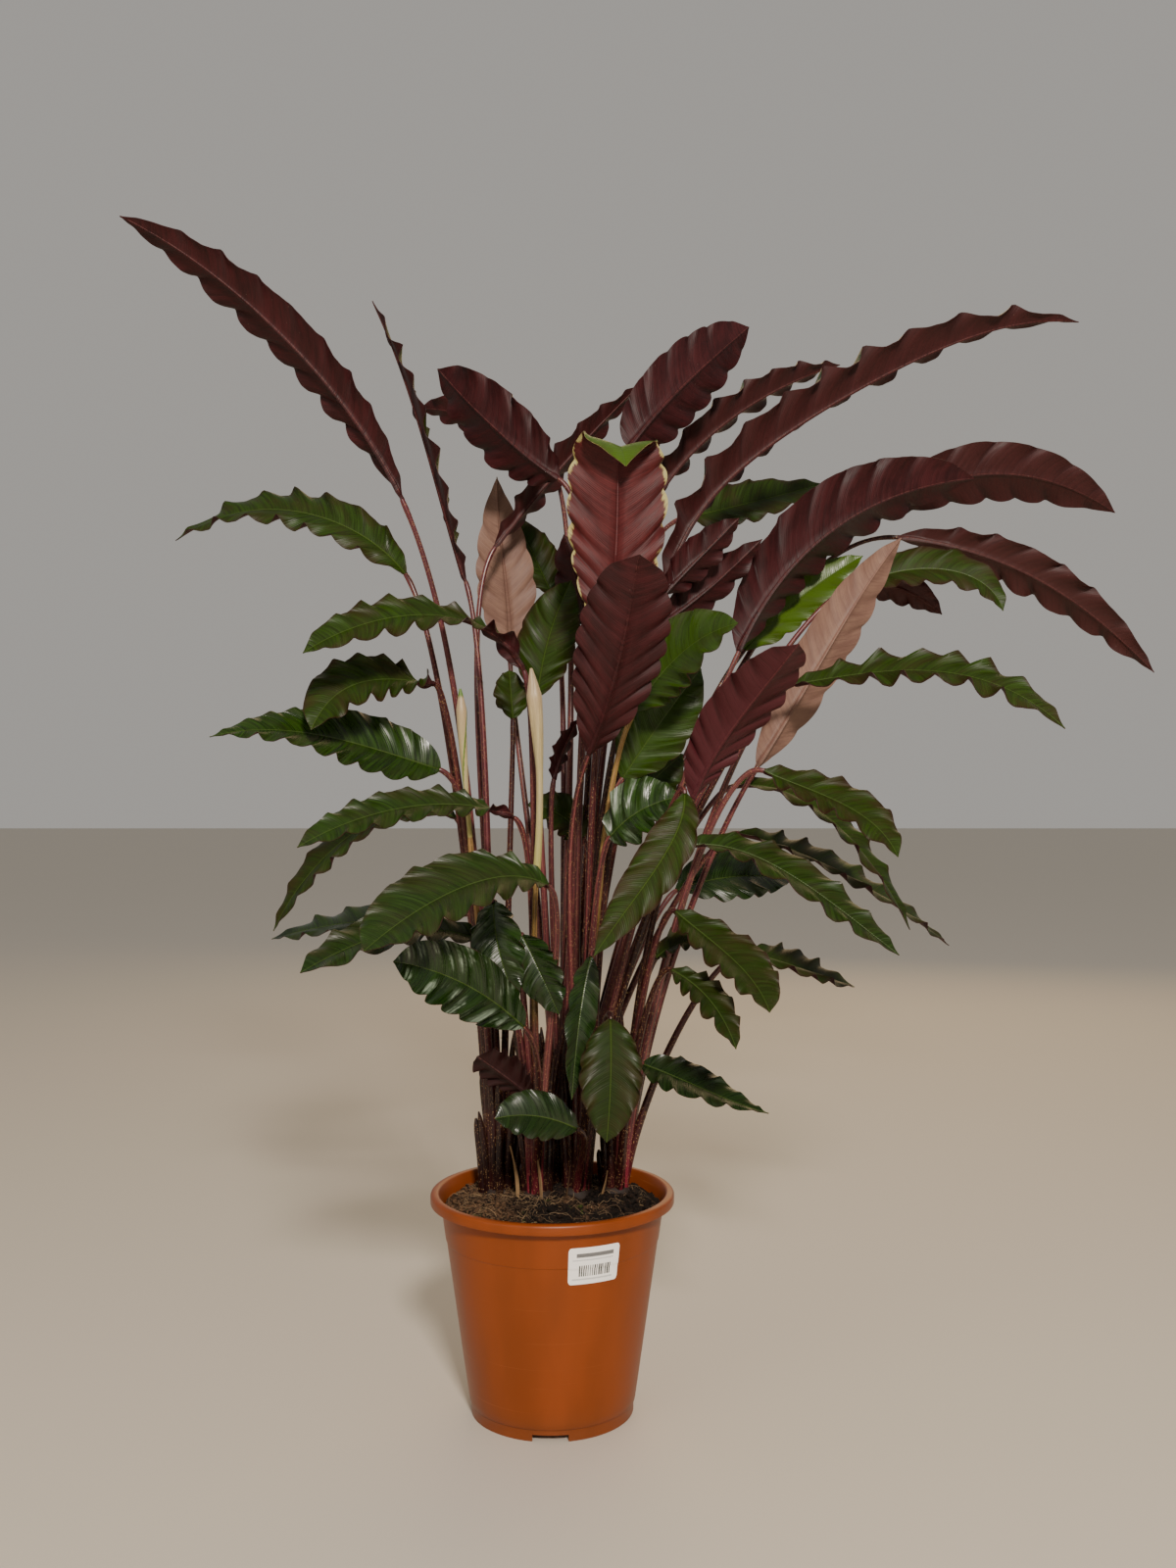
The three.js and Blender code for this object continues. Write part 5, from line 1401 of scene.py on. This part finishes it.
def soilPiece():
    def inner(z):
        return innerRadius(z) - 0.25

    turn = np.linspace(0, 2 * math.pi, soil["sides"], endpoint=False)
    points = []
    low = [(pot["padRadius"] - 2, pot["wall"] + 0.3), (pot["padRadius"] + 3, pot["floor"] + 0.3),
           (inner(pot["floor"]) - 5, pot["floor"] + 0.3), (inner(pot["floor"] + 6), pot["floor"] + 6),
           (inner(pot["ledge"]), pot["ledge"]), (inner(soil["edge"] - 6), soil["edge"] - 6)]
    for radius, z in low:
        points += [(radius * math.cos(a), radius * math.sin(a), z) for a in turn]
    rings = soil["rings"]
    for k in range(rings):
        radius = inner(soil["edge"]) * (1 - k / rings)
        for a in turn:
            x, y = radius * math.cos(a), radius * math.sin(a)
            points.append((x, y, soilHeight(x, y) if k else soil["edge"] - 1.5 + 2 * lumpy(x, y, 3.0, 9.0)))
    total = len(low) + rings
    grid = np.arange(total * soil["sides"]).reshape(total, soil["sides"])
    centre = len(points)
    faces = ringFaces(grid) + fan(centre, grid[-1]) + fan(centre + 1, grid[0], under=True)
    points += [(0, 0, soilHeight(0, 0)), (0, 0, low[0][1])]
    return meshPiece("soilBody", np.array(points), faces, [finish["soil"]], crease=None)


def inPot(chance, inset):
    # an evenly drawn place on the soil
    radius = (soilRadius - inset) * math.sqrt(chance.random())
    turn = chance.uniform(0, 2 * math.pi)
    return radius * math.cos(turn), radius * math.sin(turn)


# a ball of twenty triangles that each crumb is bent from
ballPoints = [(0, 0, 1)]
for z, start in ((0.447, 0), (-0.447, 0.5)):
    turns = (np.arange(5) + start) * 2 * math.pi / 5
    ballPoints += [(0.894 * math.cos(a), 0.894 * math.sin(a), z) for a in turns]
ballPoints = np.array(ballPoints + [(0, 0, -1)])
ballFaces = []
for make in (lambda i, j: (0, 1 + i, 1 + j), lambda i, j: (1 + i, 6 + i, 1 + j),
             lambda i, j: (6 + i, 6 + j, 1 + j), lambda i, j: (11, 6 + j, 6 + i)):
    ballFaces += [make(i, (i + 1) % 5) for i in range(5)]


crumb = {"least": 0.7, "range": 3.0, "rarity": 2.8, "sunk": 0.25, "long": (0.7, 1.4), "wide": (0.6, 1.1),
         "tall": (0.5, 0.9), "rough": (0.75, 1.2), "inset": 4}


def crumbsPiece():
    # loose crumbs of peat and bark that lie on the soil
    points, faces = [], []
    for _ in range(soil["crumbs"]):
        x, y = inPot(chance, crumb["inset"])
        size = crumb["least"] + crumb["range"] * chance.random() ** crumb["rarity"]
        spin = Matrix.Rotation(chance.uniform(0, 6.28), 3,
                               Vector((chance.random(), chance.random(), 1)).normalized())
        squash = np.array([chance.uniform(*crumb[side]) for side in ("long", "wide", "tall")])
        rough = np.array([[chance.uniform(*crumb["rough"])] for _ in ballPoints])
        body = (ballPoints * rough * squash * size) @ np.array(spin).T
        faces += [[v + len(points) for v in f] for f in ballFaces]
        points += (body + np.array([x, y, soilHeight(x, y) + size * crumb["sunk"]])).tolist()
    return meshPiece("soilCrumbs", points, faces, [finish["soil"]], crease=None)


def strandParts(places, radii, sides, tone, shape=None):
    points, faces, _ = tube(np.array(places), np.array(radii, float), sides, shape)
    return {"points": points, "faces": faces, "map": np.zeros((len(points), 3)),
            "tone": np.tile([tone, 0.0, 0.0], (len(points), 1))}


dryRoot = {"inset": 6, "leftShare": 0.55, "length": (6, 26), "bend": 0.5, "wander": 0.35,
           "radius": (0.1, 0.25), "rise": (0.2, 3.5), "lift": 0.2, "steps": 8, "taper": 0.6, "sides": 5,
           "fromWall": 3}


def rootsPiece():
    # thin dry roots that curl over the soil
    parts = []
    farthest = soilRadius - dryRoot["fromWall"]
    for _ in range(soil["fibres"]):
        x, y = inPot(chance, dryRoot["inset"])
        if chance.random() < dryRoot["leftShare"]:
            x, y = -abs(x) * 0.9, y * 0.8
        heading = chance.uniform(0, 2 * math.pi)
        length = chance.uniform(*dryRoot["length"])
        bend = chance.uniform(-dryRoot["bend"], dryRoot["bend"])
        radius = chance.uniform(*dryRoot["radius"])
        places = []
        steps = dryRoot["steps"]
        rise = chance.uniform(*dryRoot["rise"])
        for k in range(steps + 1):
            lift = rise * math.sin(math.pi * k / steps)
            places.append([x, y, soilHeight(x, y) + dryRoot["lift"] + lift])
            heading += bend + chance.uniform(-dryRoot["wander"], dryRoot["wander"])
            x += math.cos(heading) * length / steps
            y += math.sin(heading) * length / steps
            reach = math.hypot(x, y)
            if reach > farthest:
                x, y = x * farthest / reach, y * farthest / reach
        radii = [radius * (1 - dryRoot["taper"] * k / steps) for k in range(steps + 1)]
        parts.append(strandParts(places, radii, dryRoot["sides"], chance.random()))
    points, faces, maps, _ = join(parts)
    return meshPiece("dryRoots", points, faces, [finish["root"]], maps)


sheaths = [  # foot x, y, lean x, y, height and width of each dried sheath
    (-27, -8, -5, -2, 42, 3.2), (-9, -14, -3, -1, 46, 3.6), (12, -10, 1, -3, 26, 2.4),
    (39, -2, 4, -4, 22, 2.4), (40, 38, 8, 6, 30, 2.0), (12, 74, 2, 8, 34, 2.0),
]


def sheathsPiece():
    # dried leaf sheaths: thin tan strips that stand between the stalks
    parts = []
    for x, y, leanX, leanY, tall, wide in sheaths:
        places, steps = [], 12
        wobble = chance.uniform(0, 6.28)
        for k in range(steps + 1):
            s = k / steps
            places.append([x + leanX * s ** 1.5 + 0.7 * math.sin(4 * s + wobble), y + leanY * s ** 1.5,
                           soilHeight(x, y) - 2 + tall * s])
        radii = [wide / 2 * (0.45 + 0.55 * math.sin(math.pi * min(1, s + 0.25)))
                 for s in np.linspace(0, 1, steps + 1)]
        parts.append(strandParts(places, radii, 10, chance.random(),
                                 lambda turn: (1 - 0.82 * np.abs(np.sin(turn + wobble)))[None, :]))
    points, faces, maps, _ = join(parts)
    return meshPiece("drySheaths", points, faces, [finish["sheath"]], maps)


settle(soilPiece(), "soil", "soil")
settle(crumbsPiece(), "soil")
settle(rootsPiece(), "soil")
settle(sheathsPiece(), "soil")
print("soil made")

print("plant finished")
